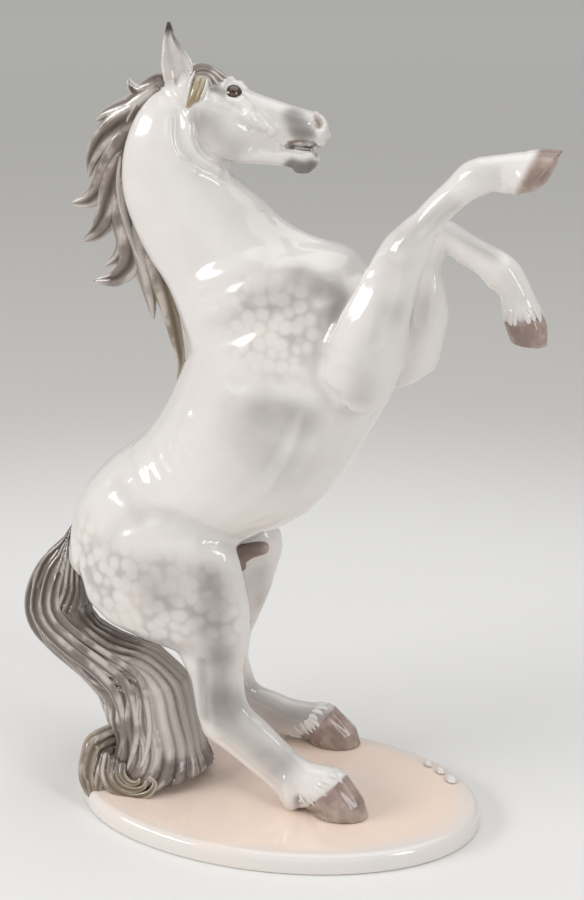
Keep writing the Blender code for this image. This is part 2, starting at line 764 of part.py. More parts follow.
def build_hind_legs(figure, spine):
    seats = ["torso"]
    for leg in HIND_LEGS:
        sole = Vector((leg.hoof_x, leg.hoof_y, PLINTH_HEIGHT + SEAM))
        coronet = sole + Vector((-HIND_CORONET_SETBACK, 0, HIND_CORONET_RISE))
        hock = coronet + leg.cannon.length * heading(leg.cannon.pitch, -leg.hand * HIND_CANNON_SPLAY)
        hip = spine.point(HIP_ALONG, HIP_ACROSS, leg.hand * HIP_SPREAD / 2)
        thigh = rings_of(Bone(hip, hock), leg.thigh)
        cannon = joined_rings(thigh, Bone(hock, coronet), leg.cannon.sections)
        figure.member(f"{leg.side}_thigh", thigh, LIMB, PORCELAIN, seats)
        figure.member(f"{leg.side}_hind_cannon", cannon, LIMB, PORCELAIN, ("plinth",))
        figure.member(f"{leg.side}_hind_hoof", hind_hoof_rings(cannon, sole), LIMB, HOOF_BROWN)
        seats.append(f"{leg.side}_thigh")


def build_sheath(figure, spine):
    start = spine.point(SHEATH_ALONG, SHEATH_ACROSS)
    bone = Bone(start, start + SHEATH_LENGTH * heading(SHEATH_PITCH))
    seats = ("torso", "right_thigh", "left_thigh")
    figure.member("sheath", rings_of(bone, SHEATH), LOCK, SKIN_GREY, seats)


def build_tail(figure, spine):
    """The tail falls from the dock to the plinth, and two locks leave its foot."""
    dock = spine.point(DOCK_ALONG, DOCK_ACROSS)
    foot = Vector((TAIL_FOOT_INSET - PLINTH_LENGTH / 2, TAIL_FOOT_Y, PLINTH_HEIGHT + SEAM))
    seats = ["torso", "right_thigh", "left_thigh", "right_hind_cannon", "left_hind_cannon", "plinth"]
    figure.member("tail", rings_of(Bone(dock, foot), TAIL), LIMB, HAIR_GREY, seats)
    seats.append("tail")
    side_lock = lock_rings(foot + SIDE_LOCK_ROOT, SIDE_LOCK)
    figure.member("tail_side_lock", side_lock, LOCK, HAIR_GREY, seats)
    seats.append("tail_side_lock")
    figure.member("tail_tip_lock", lock_rings(foot + CURL_ROOT, CURL), LOCK, HAIR_GREY, seats)


def build_figurine():
    clear_scene()
    figure = Figure()
    rump = Vector((RUMP_X, MIDLINE_Y, PLINTH_HEIGHT + RUMP_ABOVE_PLINTH))
    spine = Bone(rump, rump + SPINE_LENGTH * heading(SPINE_PITCH))
    yaw = math.radians(HEAD_YAW)
    roll = math.radians(HEAD_ROLL)
    head_left = Vector((-math.sin(yaw) * math.cos(roll), math.cos(yaw) * math.cos(roll), -math.sin(roll)))
    neck_root = spine.point(NECK_ROOT_ALONG, NECK_ROOT_ACROSS)
    poll = neck_root + NECK_LENGTH * heading(NECK_PITCH, NECK_SPLAY)
    neck = Bone(neck_root, poll, Vector((0, 1, 0)), head_left)
    head = Bone(poll, poll + HEAD_LENGTH * heading(HEAD_PITCH, HEAD_YAW), head_left)
    build_plinth(figure)
    build_pebbles(figure)
    build_torso(figure, spine, neck)
    build_head(figure, head)
    build_neck(figure, neck)
    build_ears(figure, head)
    build_mane(figure, neck)
    build_forelock(figure, head)
    build_forelegs(figure, spine)
    build_hind_legs(figure, spine)
    build_sheath(figure, spine)
    build_tail(figure, spine)


build_figurine()
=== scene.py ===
"""Glazed porcelain rearing horse: its skin, hair, hooves, face and plinth over the cast members.

The skin is modelled over merged copies of the members, smoothed, and then worked with strokes.
A stroke is a path of pixels in the photograph's 584 by 900 frame, laid on the clay from the camera,
with a real width and height. The right side is the near one. Strokes on the trunk, the neck and the
head repeat on the left, and those on the legs stay on the leg that the photograph shows.
"""

import math
from collections import namedtuple

import bmesh
import bpy
import numpy as np
from bpy.props import FloatProperty, FloatVectorProperty, IntProperty, PointerProperty
from mathutils import Matrix, Vector
from mathutils.bvhtree import BVHTree


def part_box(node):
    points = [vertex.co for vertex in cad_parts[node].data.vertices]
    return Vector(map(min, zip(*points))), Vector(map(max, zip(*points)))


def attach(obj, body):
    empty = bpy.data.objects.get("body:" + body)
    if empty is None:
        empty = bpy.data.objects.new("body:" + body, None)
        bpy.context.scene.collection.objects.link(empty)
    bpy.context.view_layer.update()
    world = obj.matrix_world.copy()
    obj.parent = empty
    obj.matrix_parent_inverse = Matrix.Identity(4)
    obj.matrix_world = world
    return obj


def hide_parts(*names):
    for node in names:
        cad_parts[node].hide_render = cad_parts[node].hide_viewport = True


bl_info = {
    "name": "Rearing Horse Figurine",
    "version": (1, 0, 0),
    "blender": (4, 5, 0),
    "location": "View3D > Sidebar > Horse",
    "description": "Dresses the cast members of a rearing porcelain horse as a glazed figure",
    "category": "Object",
}

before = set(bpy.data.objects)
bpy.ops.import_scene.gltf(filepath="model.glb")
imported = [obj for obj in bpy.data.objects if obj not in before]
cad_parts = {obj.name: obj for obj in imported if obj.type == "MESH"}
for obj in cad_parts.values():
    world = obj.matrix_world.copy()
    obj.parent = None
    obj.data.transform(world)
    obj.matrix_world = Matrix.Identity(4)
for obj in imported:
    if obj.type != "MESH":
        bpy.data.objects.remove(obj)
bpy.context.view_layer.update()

MM = 0.001
UP = Vector((0, 0, 1))
LEFT = Vector((0, 1, 0))
BODY = "root"

# The photograph's frame and its camera
FRAME_WIDTH = 584
FRAME_HEIGHT = 900
SENSOR = 36.0
LENS = 74.56
EYE = Vector((201.8, -729.0, 431.5)) * MM
TARGET = Vector((5.99, 1.60, 171.0)) * MM

# The horse's own planes
MIDLINE_Y = 10.0 * MM
POLL = Vector((-37.6, 8.3, 318.5)) * MM
HEAD_LEFT = Vector((-0.168, 0.956, -0.242)).normalized()


def deselect():
    bpy.ops.object.select_all(action="DESELECT")


def only(*pieces):
    deselect()
    for piece in pieces:
        piece.select_set(True)
    bpy.context.view_layer.objects.active = pieces[-1]


def finish_with(piece, kind, **settings):
    """Adds a modifier, sets it and applies it."""
    step = piece.modifiers.new(kind.lower(), kind)
    for name, value in settings.items():
        setattr(step, name, value)
    only(piece)
    bpy.ops.object.modifier_apply(modifier=step.name)


def weld(piece, gap, outward=False):
    """Merges points that lie closer than the gap, and may turn the faces outwards."""
    only(piece)
    bpy.ops.object.mode_set(mode="EDIT")
    bpy.ops.mesh.select_all(action="SELECT")
    bpy.ops.mesh.remove_doubles(threshold=gap)
    if outward:
        bpy.ops.mesh.normals_make_consistent(inside=False)
    bpy.ops.object.mode_set(mode="OBJECT")


def flat_grid(name, around, along):
    """A new grid, two units wide each way."""
    deselect()
    bpy.ops.mesh.primitive_grid_add(x_subdivisions=around, y_subdivisions=along, size=2)
    bpy.context.object.name = name
    return bpy.context.object


def joined(name, pieces):
    """Pieces made one, under a name."""
    only(*pieces)
    if len(pieces) > 1:
        bpy.ops.object.join()
    made = bpy.context.view_layer.objects.active
    made.name = name
    made.data.name = name
    return made


def surface_of(piece):
    """The piece's faces, ready for rays and for the nearest point."""
    return BVHTree.FromObject(piece, bpy.context.evaluated_depsgraph_get())


def settle(piece):
    """Leaves the piece's place in its mesh and its object at the origin."""
    only(piece)
    bpy.ops.object.transform_apply(location=True, rotation=True, scale=True)


def wear(piece, slot, look, *nodes):
    """The piece's last step: its body, its material and the members it stands for. The slot is not
    used.
    """
    piece.data.materials.clear()
    piece.data.materials.append(look)
    only(piece)
    bpy.ops.object.shade_smooth()
    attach(piece, BODY)
    if nodes:
        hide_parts(*nodes)


# Where a ray that misses a surface looks for its nearest point, as shares of the way to the target
MISSED_SHARES = np.linspace(0.88, 1.12, 25)


class PhotoView:
    """The photograph's camera, which turns a pixel into a ray."""

    def __init__(self):
        self.ahead = (TARGET - EYE).normalized()
        self.right = self.ahead.cross(UP).normalized()
        self.up = self.right.cross(self.ahead)
        self.focal = LENS / SENSOR * FRAME_HEIGHT

    def ray(self, pixel):
        """The way from the camera through a pixel."""
        across = (pixel[0] - FRAME_WIDTH / 2) / self.focal
        down = (pixel[1] - FRAME_HEIGHT / 2) / self.focal
        return (self.ahead + across * self.right - down * self.up).normalized()

    def at_side(self, pixel, y):
        """The pixel's point on the upright plane at y, which lies along the horse."""
        ray = self.ray(pixel)
        return EYE + ray * ((y - EYE.y) / ray.y)

    def on(self, tree, pixel):
        """The pixel's point on a surface, or the surface's point nearest to its ray."""
        ray = self.ray(pixel)
        hit = tree.ray_cast(EYE, ray)[0]
        if hit is not None:
            return hit
        reach = (TARGET - EYE).length
        tries = [tree.find_nearest(EYE + ray * reach * share) for share in MISSED_SHARES]
        return min(tries, key=lambda found: found[3])[0]


PHOTO = PhotoView()


def route_of(marks):
    """Points of marks, which are pixels that each carry a distance to the left in millimetres."""
    return [PHOTO.at_side(pixel, y * MM) for *pixel, y in marks]


# Points from one given point of a curve to the next
STROKE_STEPS = 4
TUBE_STEPS = 6
STRAND_STEPS = 8


def curve_through(points, steps):
    """Points on a smooth curve through the given ones, as an array."""
    p = np.array([list(point) for point in points], float)
    if len(p) == 1:
        return p
    ends = np.vstack([2 * p[0] - p[1], p, 2 * p[-1] - p[-2]])
    made = []
    for i in range(len(p) - 1):
        a, b, c, d = ends[i:i + 4]
        for t in np.arange(steps) / steps:
            made.append(
                0.5 * (2 * b + (c - a) * t + (2 * a - 5 * b + 4 * c - d) * t ** 2
                       + (3 * b - a - 3 * c + d) * t ** 3)
            )
    made.append(p[-1])
    return np.array(made)


def ramp(value, low, high):
    """0 below low, 1 above high and smooth between them."""
    share = np.clip((value - low) / (high - low), 0, 1)
    return share * share * (3 - 2 * share)


# How a stroke's height falls off from its path, at 0, to its radius, at 1
FALLOFFS = {
    "round": lambda d: (1 - d * d) ** 2,
    "sharp": lambda d: (1 - d) ** 2,
}
# Brings the crest of a fold near to its stroke's height
FOLD_GAIN = 3.2


def rows_of(items, name, width, kind=float):
    """One value of all of a mesh's items, as the rows of an array."""
    values = np.zeros(len(items) * width, kind)
    items.foreach_get(name, values)
    return values.reshape(-1, width)


def nearest_on(points, path):
    """Each point's distance and offset from a path, the run there and the share of the path to it."""
    best = np.full(len(points), 1e9)
    offset = np.zeros((len(points), 3))
    run = np.zeros((len(points), 3))
    reached = np.zeros(len(points))
    walked = 0.0
    for start, end in zip(path, path[1:] if len(path) > 1 else path):
        along = end - start
        share = np.clip((points - start) @ along / max(along @ along, 1e-12), 0, 1)
        away = points - start - share[:, None] * along
        distance = np.linalg.norm(away, axis=1)
        closer = distance < best
        best[closer] = distance[closer]
        offset[closer] = away[closer]
        run[closer] = along
        reached[closer] = walked + share[closer] * np.linalg.norm(along)
        walked += np.linalg.norm(along)
    return best, offset, run, reached / max(walked, 1e-12)


class Clay:
    """A mesh's points, shaped by strokes and masked by brushes."""

    def __init__(self, piece):
        self.piece = piece
        self.co = rows_of(piece.data.vertices, "co", 3)
        self.edges = rows_of(piece.data.edges, "vertices", 2, int)
        self.masks = {}

    def write(self):
        """Puts the points and the masks back into the mesh."""
        mesh = self.piece.data
        mesh.vertices.foreach_set("co", self.co.ravel())
        mesh.update()
        for name, values in self.masks.items():
            mask = mesh.attributes.get(name) or mesh.attributes.new(name, "FLOAT", "POINT")
            mask.data.foreach_set("value", np.clip(values, 0, 1).astype(np.float32))

    def learn(self):
        """Writes the points and reads the normals and the surface again."""
        self.write()
        self.normals = rows_of(self.piece.data.vertex_normals, "vector", 3)
        self.tree = surface_of(self.piece)

    def sink(self, depth):
        """Lowers the surface along its normals, by one depth or by one for each point."""
        self.co -= self.normals * np.reshape(depth, (-1, 1))
        self.learn()

    def smooth(self, passes, shrink, swell):
        """Takes facets out in pairs of a shrinking and a swelling step, which keep the volume."""
        a, b = self.edges.T
        count = len(self.co)
        degree = np.bincount(a, minlength=count) + np.bincount(b, minlength=count)
        for _ in range(passes):
            for share in (shrink, -swell):
                for axis in range(3):
                    x = self.co[:, axis]
                    total = np.bincount(a, x[b], count) + np.bincount(b, x[a], count)
                    self.co[:, axis] = x + share * (total / degree - x)

    def nearness(self, path, radius):
        """The points within a path's radius: which, how far off as a share of it, offset and run."""
        low = path.min(0) - radius
        high = path.max(0) + radius
        near = np.flatnonzero(((self.co > low) & (self.co < high)).all(1))
        best, offset, run, _ = nearest_on(self.co[near], path)
        keep = best < radius
        return near[keep], best[keep] / radius, offset[keep], run[keep]

    def lay(self, pixels):
        """Pixels laid on the clay, as points."""
        return [PHOTO.on(self.tree, pixel) for pixel in pixels]

    def across(self, points, middle, left):
        """The points carried to the other side of a plane and laid on the clay there."""
        made = []
        for point in points:
            other = Vector(point) - 2 * (Vector(point) - middle).dot(left) * left
            made.append(self.tree.find_nearest(other)[0])
        return made

    def press(self, points, radius, height, shape="round"):
        """Raises a path by a height, or sinks it by a negative one. A fold does both, side by side."""
        index, share, offset, run = self.nearness(curve_through(points, STROKE_STEPS), radius)
        if shape == "fold":
            side = np.einsum("ij,ij->i", np.cross(run, self.normals[index]), offset)
            length = np.linalg.norm(run, axis=1) + 1e-12
            amount = side / (length * radius) * (1 - share ** 2) ** 2 * FOLD_GAIN
        else:
            amount = FALLOFFS[shape](share)
        self.co[index] += self.normals[index] * (height * amount)[:, None]

    def brush(self, mask, points, radius, strength):
        """Brings a mask nearer to 1 along a path."""
        values = self.masks.setdefault(mask, np.zeros(len(self.co)))
        index, share, _, _ = self.nearness(curve_through(points, STROKE_STEPS), radius)
        values[index] += (1 - values[index]) * strength * FALLOFFS["round"](share)


# Points nearer than this are merged, on a copied member and on a rolled grid
COPY_GAP = 0.005 * MM
ROLL_GAP = 0.002 * MM


def plain_copy(node):
    """A merged copy of a member's mesh, with nothing of its finish."""
    made = bpy.data.objects.new(node + "_copy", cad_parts[node].data.copy())
    bpy.context.scene.collection.objects.link(made)
    made.data.materials.clear()
    weld(made, COPY_GAP)
    return made


def regrain(piece, grain):
    """Lays even faces over the piece and drops the walls inside it."""
    finish_with(piece, "REMESH", mode="VOXEL", voxel_size=grain)
    return outer_shell(piece)


def fused(name, nodes, grain, swell, extra=()):
    """One closed surface over several members, swelled so that they meet."""
    copies = [plain_copy(node) for node in nodes]
    for copy in copies:
        finish_with(copy, "DISPLACE", strength=swell, mid_level=0.0)
    made = joined(name, copies + list(extra))
    if made.data.has_custom_normals:
        bpy.ops.mesh.customdata_custom_splitnormals_clear()
    return regrain(made, grain)


def outer_shell(piece):
    """Keeps the largest closed surface and deletes the walls of the hollow inside it."""
    name = piece.name
    only(piece)
    bpy.ops.mesh.separate(type="LOOSE")
    shells = sorted(bpy.context.selected_objects, key=lambda shell: -len(shell.data.vertices))
    for shell in shells[1:]:
        bpy.data.objects.remove(shell)
    shells[0].name = name
    return shells[0]


def slice_off(piece, place, away, reached=lambda point: True):
    """Cuts the reached part of a piece by a plane, deletes what lies beyond it and fills the cut."""
    only(piece)
    bpy.ops.object.mode_set(mode="EDIT")
    bpy.ops.mesh.select_all(action="DESELECT")
    clay = bmesh.from_edit_mesh(piece.data)
    for face in clay.faces:
        face.select = reached(face.calc_center_median())
    clay.select_flush(True)
    bmesh.update_edit_mesh(piece.data)
    bpy.ops.mesh.bisect(plane_co=place, plane_no=away, use_fill=True, clear_outer=True)
    bpy.ops.object.mode_set(mode="OBJECT")


# How near two members' points lie on the seam between them
SEAM_REACH = 0.6 * MM


def ring_between(node, neighbour):
    """The seam's middle and its way toward the neighbour, from the two members' points."""
    own = np.array([v.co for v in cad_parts[node].data.vertices])
    other = np.array([v.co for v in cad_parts[neighbour].data.vertices])
    gaps = np.linalg.norm(own[:, None] - other[None], axis=2).min(1)
    ring = np.unique(np.round(own[gaps < SEAM_REACH], 7), axis=0)
    middle = ring.mean(0)
    way = Vector(np.linalg.svd(ring - middle)[2][2])
    if way.dot(Vector(other.mean(0) - middle)) < 0:
        way.negate()
    return Vector(middle), way


# A Mix node's colour sockets
MIX_UNDER = 6
MIX_OVER = 7
MIX_COLOUR = 2


class Shade:
    """A shader socket that can stand in an expression."""

    def __init__(self, tree, socket):
        self.tree = tree
        self.socket = socket

    def node(self, kind, settings=None, values=None, out=0):
        """Any node: its settings, then the values or links of its inputs, by name or number."""
        made = self.tree.nodes.new(kind)
        for name, value in (settings or {}).items():
            setattr(made, name, value)
        for name, value in (values or {}).items():
            if isinstance(value, Shade):
                self.tree.links.new(value.socket, made.inputs[name])
            else:
                made.inputs[name].default_value = value
        return Shade(self.tree, made.outputs[out])

    def math(self, operation, first, second):
        return self.node("ShaderNodeMath", {"operation": operation}, {0: first, 1: second})

    def __add__(self, other):
        return self.math("ADD", self, other)

    def __radd__(self, other):
        return self.math("ADD", other, self)

    def __sub__(self, other):
        return self.math("SUBTRACT", self, other)

    def __rsub__(self, other):
        return self.math("SUBTRACT", other, self)

    def __mul__(self, other):
        return self.math("MULTIPLY", self, other)

    def __rmul__(self, other):
        return self.math("MULTIPLY", other, self)

    def between(self, low, high):
        """0 below low, 1 above high and smooth between them."""
        settings = {"interpolation_type": "SMOOTHSTEP"}
        return self.node("ShaderNodeMapRange", settings, {0: self, 1: low, 2: high})

    def tint(self, under, over):
        """The colour under where this mask is 0, and the colour over where it is 1."""
        values = {0: self}
        for place, tone in ((MIX_UNDER, under), (MIX_OVER, over)):
            values[place] = tone if isinstance(tone, Shade) else (*tone, 1.0)
        return self.node("ShaderNodeMix", {"data_type": "RGBA"}, values, out=MIX_COLOUR)


GLAZE_IOR = 1.5
COAT_ROUGHNESS = 0.03


class Glaze(Shade):
    """A new material and its Principled shader, with the inputs that its pattern starts from."""

    def __init__(self, name, roughness, coat):
        self.material = bpy.data.materials.new(name)
        self.material.use_nodes = True
        tree = self.material.node_tree
        self.shader = tree.nodes["Principled BSDF"]
        super().__init__(tree, None)
        self.shader.inputs["Roughness"].default_value = roughness
        self.shader.inputs["IOR"].default_value = GLAZE_IOR
        self.shader.inputs["Coat Weight"].default_value = coat
        self.shader.inputs["Coat Roughness"].default_value = COAT_ROUGHNESS
        self.place = self.node("ShaderNodeTexCoord", out="Object")

    def mask(self, name):
        """A mask that brushes or tubes left on the mesh."""
        return self.node("ShaderNodeAttribute", {"attribute_name": name}, out="Fac")

    def noise(self, size, detail=2.0):
        """Clouds of a size."""
        values = {"Vector": self.place, "Scale": 1 / size, "Detail": detail}
        return self.node("ShaderNodeTexNoise", None, values)

    def reach(self, place):
        """How far a place lies from the origin."""
        return self.node("ShaderNodeVectorMath", {"operation": "LENGTH"}, {0: place}, out="Value")

    def paint(self, colour, roughness=None, relief=None, depth=0.0):
        """Links the colour, and the roughness and relief where they vary."""
        self.tree.links.new(colour.socket, self.shader.inputs["Base Color"])
        if roughness:
            self.tree.links.new(roughness.socket, self.shader.inputs["Roughness"])
        if relief:
            values = {"Height": relief, "Distance": depth, "Strength": 1.0}
            bump = self.node("ShaderNodeBump", None, values)
            self.tree.links.new(bump.socket, self.shader.inputs["Normal"])
        return self.material


class HorseSizes(bpy.types.PropertyGroup):
    """Sizes of the model that a user would change, in metres."""

    body_grain: FloatProperty(
        name="Body grain", description="Size of the clay's faces on the body",
        default=1.15 * MM, min=0.5 * MM, unit="LENGTH",
    )
    fine_grain: FloatProperty(
        name="Fine grain", description="Size of the clay's faces on the head and the hooves",
        default=0.45 * MM, min=0.3 * MM, unit="LENGTH",
    )
    swell: FloatProperty(
        name="Swell", description="How far members are swelled to meet, and taken back after",
        default=0.4 * MM, unit="LENGTH",
    )
    dapple: FloatProperty(
        name="Dapple", description="Width of one pale dapple in the coat",
        default=5.4 * MM, unit="LENGTH",
    )
    eye: FloatProperty(
        name="Eye", description="Radius of an eye", default=3.9 * MM, unit="LENGTH",
    )
    ear_wall: FloatProperty(
        name="Ear wall", description="Thickness of an ear's leaf", default=1.3 * MM, unit="LENGTH",
    )
    rim_rounding: FloatProperty(
        name="Rim rounding", description="Radius of the plinth's upper edge",
        default=3.4 * MM, unit="LENGTH",
    )
    smoothing: IntProperty(
        name="Smoothing", description="Pairs of smoothing passes over the clay", default=240, min=1,
    )


def colour_of(name, description, default):
    return FloatVectorProperty(
        name=name, description=description, default=default, subtype="COLOR", min=0.0, max=1.0, size=3,
    )


class HorseColours(bpy.types.PropertyGroup):
    """Colours under the glaze, as linear values."""

    porcelain: colour_of("Porcelain", "The white body under the glaze", (0.77, 0.735, 0.705))
    # Airbrushed grey on the muzzle, the chin and the legs, and painted shade in joints, folds, grooves,
    # hollows and under the belly
    shadow: colour_of("Airbrush", "Grey sprayed on joints, folds and the muzzle", (0.17, 0.150, 0.138))
    net: colour_of("Dapple net", "Grey-brown net between the dapples", (0.36, 0.32, 0.30))
    blush: colour_of("Blush", "Warm beige inside the dapples' net", (0.62, 0.52, 0.47))
    hair: colour_of("Hair", "Taupe of the mane's and the tail's ridges", (0.19, 0.15, 0.128))
    # The grooves' dark is partly painted shade, and the pale hair on ridges and edges is thinned glaze
    # together with painted highlight
    groove: colour_of("Groove", "Dark brown that lies in the hair's grooves", (0.05, 0.036, 0.028))
    pale_hair: colour_of("Pale hair", "Thinned glaze on a lock's edge", (0.60, 0.55, 0.51))
    gold: colour_of("Gold", "Golden olive at the locks' ends", (0.34, 0.25, 0.11))
    hoof: colour_of("Hoof", "Brown of a hoof's wall", (0.24, 0.165, 0.135))
    pale_hoof: colour_of("Pale hoof", "Beige at a hoof's edge and sole", (0.56, 0.45, 0.39))
    iris: colour_of("Iris", "Brown of the eye", (0.075, 0.028, 0.010))
    plinth: colour_of("Plinth", "Beige pink in the middle of the plinth", (0.95, 0.755, 0.63))
    # The paper's pale round the figure is a painted pool of light, and its grey away from it is painted
    # shade
    floor: colour_of("Floor", "Pale paper under the figure", (0.84, 0.828, 0.81))
    far_floor: colour_of("Far floor", "Grey of the paper away from the figure", (0.655, 0.64, 0.61))


def sizes():
    return bpy.context.scene.horse_sizes


def colours():
    return bpy.context.scene.horse_colours


# The members under the skin, and the cannon over each hoof
HOOVES = {
    "right_fore_hoof": "right_fore_cannon",
    "left_fore_hoof": "left_fore_cannon",
    "right_hind_hoof": "right_hind_cannon",
    "left_hind_hoof": "left_hind_cannon",
}
FORELEGS = ("right_forearm", "left_forearm", "right_fore_cannon", "left_fore_cannon")
HIND_LEGS = ("right_thigh", "left_thigh", "right_hind_cannon", "left_hind_cannon")
BODY_MEMBERS = ("torso", "neck", *FORELEGS, *HIND_LEGS)
# The body and the head meet behind the cheeks, where the throat has its crease
SEAM_LOW = (226, 176)
SEAM_HIGH = (165, 82)
THROAT_AHEAD = (300, 196)
SEAM_OVERLAP = 14 * MM
SEAM_MATCH = 9 * MM
SEAM_RAMP = 2.5 * MM
SEAM_SINK = 1.6 * MM
HEAD_REACH = 85 * MM
THROAT_HEIGHT = 286 * MM
# The skin ends in a lip over each hoof, and the hoof runs on under it as a stub
HOOF_LIP = 1.2 * MM
HOOF_STUB = 4.0 * MM
HOOF_REACH = 32 * MM
HOOF_SINK = 0.8 * MM
# Clay that closes the casting vent
VENT_PLUG = Vector((-45, 10, 104)) * MM
VENT_PLUG_RADIUS = 3.5 * MM

# Radii and heights are in millimetres
Stroke = namedtuple("Stroke", "pixels radius height shape", defaults=("round",))
Tone = namedtuple("Tone", "mask pixels radius strength")

# Strokes on the trunk, the neck and the haunches, each repeated on the far side
RIB_COUNT = 7
RIBS = tuple(
    Stroke(
        ((146 + 11 * i, 456 - 5 * i), (153 + 11 * i, 474 - 6 * i), (161 + 12 * i, 486 - 7 * i)),
        2.8, 0.2,
    )
    for i in range(RIB_COUNT)
)
TRUNK_STROKES = (
    Stroke(((238, 389), (270, 393), (310, 393), (340, 403), (357, 415)), 9, 0.65, "fold"),
    Stroke(((280, 235), (320, 246), (360, 270)), 6, -0.5, "sharp"),
    Stroke(((210, 185), (245, 208), (280, 230), (330, 270)), 9, -0.5),
    Stroke(((200, 268), (250, 256), (300, 246), (330, 250)), 8, -0.5),
    Stroke(((124, 557), (146, 550), (172, 554), (200, 563)), 17, 2.4),
    Stroke(((196, 312), (228, 294), (258, 277), (290, 268), (325, 270)), 28, 2.2),
    Stroke(((214, 310), (246, 293), (266, 281), (286, 270)), 8, 1.5),
    Stroke(((204, 284), (232, 270), (256, 262)), 7, 1.2),
    Stroke(
        ((104, 545), (116, 529), (136, 523), (154, 517), (178, 521), (204, 533), (232, 544)), 6, -1.1,
    ),
    Stroke(((112, 484), (122, 497), (138, 507), (152, 513)), 6, -0.6),
    Stroke(((303, 415), (296, 440), (284, 466), (268, 492)), 2.6, 0.55),
    Stroke(((292, 420), (282, 445), (266, 468)), 3.2, -0.55),
    Stroke(((312, 425), (306, 448), (295, 470)), 4.0, -0.5),
    Stroke(((136, 446), (139, 464), (143, 482)), 4.5, 0.7),
    Stroke(((188, 418), (183, 432), (180, 444)), 4.5, 0.6),
    Stroke(((232, 548), (228, 556), (226, 566)), 5, 0.7),
    Stroke(((100, 590), (130, 600), (165, 606), (200, 600)), 12, 0.5),
    *RIBS,
)
# Grey tones here are mostly painted shade: in the hollow between the shoulder and the forearm, along
# the folds and grooves of the neck, shoulder, flank and rump, over the belly and under the thigh's
# bulge, with some airbrushed grey. The dapples are the coat's own pattern.
TRUNK_TONES = (
    Tone("grey", ((303, 276), (325, 285), (342, 298), (333, 320)), 7, 0.75),
    Tone("grey", ((318, 286), (338, 300), (334, 316)), 4, 0.6),
    Tone("grey", ((270, 285), (300, 300), (322, 330)), 14, 0.42),
    Tone("dapple", ((258, 312), (285, 305), (300, 325), (285, 345), (262, 335)), 15, 1.0),
    Tone("grey", ((190, 165), (225, 200), (270, 240)), 15, 0.2),
    Tone("grey", ((268, 409), (290, 414), (306, 421)), 9, 0.4),
    Tone("grey", ((262, 425), (275, 450), (295, 465)), 20, 0.34),
    Tone("grey", ((245, 420), (235, 450), (225, 480)), 16, 0.16),
    Tone("grey", ((115, 488), (128, 500), (140, 509)), 7, 0.22),
    Tone("grey", ((108, 540), (118, 527), (134, 521)), 7, 0.22),
    Tone("grey", ((168, 516), (188, 521), (212, 532), (236, 544)), 8, 0.24),
    Tone("dapple", ((84, 535), (92, 575), (110, 605), (140, 630), (175, 642)), 9, 1.0),
    Tone("dapple", ((110, 580), (150, 600), (200, 610)), 14, 1.0),
    Tone("dapple", ((120, 565), (155, 572), (190, 574), (215, 580)), 8, 0.8),
    Tone("dapple", ((205, 575), (225, 620), (220, 650)), 8, 0.9),
    Tone("grey", ((150, 588), (185, 584), (210, 590), (216, 640)), 13, 0.4),
    Tone("grey", ((160, 608), (185, 612), (205, 620)), 12, 0.2),
    Tone("grey", ((110, 560), (140, 560), (190, 560)), 9, 0.2),
    Tone("grey", ((130, 636), (165, 645), (190, 652)), 7, 0.4),
)
# Strokes and tones that stay on the side where the photograph's view meets them
LEG_STROKES = (
    Stroke(((203, 664), (202, 690), (203, 718)), 3.6, -1.2),
    Stroke(((212, 670), (212, 700), (216, 722)), 3.0, 0.6),
    Stroke(((228, 668), (230, 700), (240, 722)), 4.0, -0.5),
    Stroke(((222, 742), (245, 762), (270, 783)), 2.6, -0.7),
    Stroke(((286, 782), (289, 797), (292, 811)), 4.4, 1.4),
    Stroke(((297, 788), (298, 800), (299, 812)), 2.0, -0.4),
    Stroke(((329, 346), (341, 320), (354, 298), (366, 275)), 5.0, 0.9),
    Stroke(((348, 356), (360, 330), (371, 304), (379, 286)), 5.0, -0.35),
    Stroke(((377, 340), (386, 300), (392, 268)), 5.0, -0.9),
    Stroke(((340, 372), (340, 390), (346, 408)), 4.0, -0.7),
    Stroke(((414, 236), (436, 214), (452, 198)), 2.6, -0.7),
    Stroke(((430, 268), (424, 296), (420, 320)), 4.0, -0.8),
    Stroke(((487, 250), (508, 272), (522, 296)), 3.0, 0.5),
    Stroke(((500, 186), (499, 178), (500, 170)), 2.2, -0.8),
)
# Grey tones: airbrushed grey on the cannons and forearms, and painted shade in the grooves of the
# gaskin and forearm, in the gap between the fetlock's tuft and the hoof, on the far legs and on the far
# thigh behind the sheath. The brown is the far fore hoof's own colour.
LEG_TONES = (
    Tone("grey", ((203, 664), (202, 690), (204, 716)), 4.4, 0.5),
    Tone("grey", ((220, 664), (222, 700), (234, 728)), 9, 0.6),
    Tone("grey", ((214, 580), (216, 620), (218, 655)), 8, 0.42),
    Tone("grey", ((226, 710), (244, 730), (260, 746), (278, 764)), 12, 0.8),
    Tone("grey", ((299, 799), (300, 811)), 3, 0.8),
    Tone("grey", ((402, 232), (398, 262), (392, 300)), 10, 0.4),
    Tone("grey", ((384, 316), (371, 345), (362, 372), (359, 394)), 9, 0.42),
    Tone("grey", ((405, 240), (430, 222), (452, 206)), 5, 0.6),
    Tone("grey", ((480, 176), (488, 172)), 6, 0.32),
    Tone("grey", ((446, 226), (470, 240), (494, 254)), 5, 0.6),
    Tone("grey", ((510, 276), (515, 296)), 6, 0.25),
    Tone("grey", ((436, 266), (430, 298), (424, 326)), 8, 0.26),
    Tone("grey", ((250, 690), (275, 712), (300, 718), (325, 716)), 9, 0.62),
    Tone("grey", ((262, 575), (262, 600)), 9, 0.4),
    Tone("brown", ((508, 322), (525, 325), (540, 318)), 3, 0.35),
)
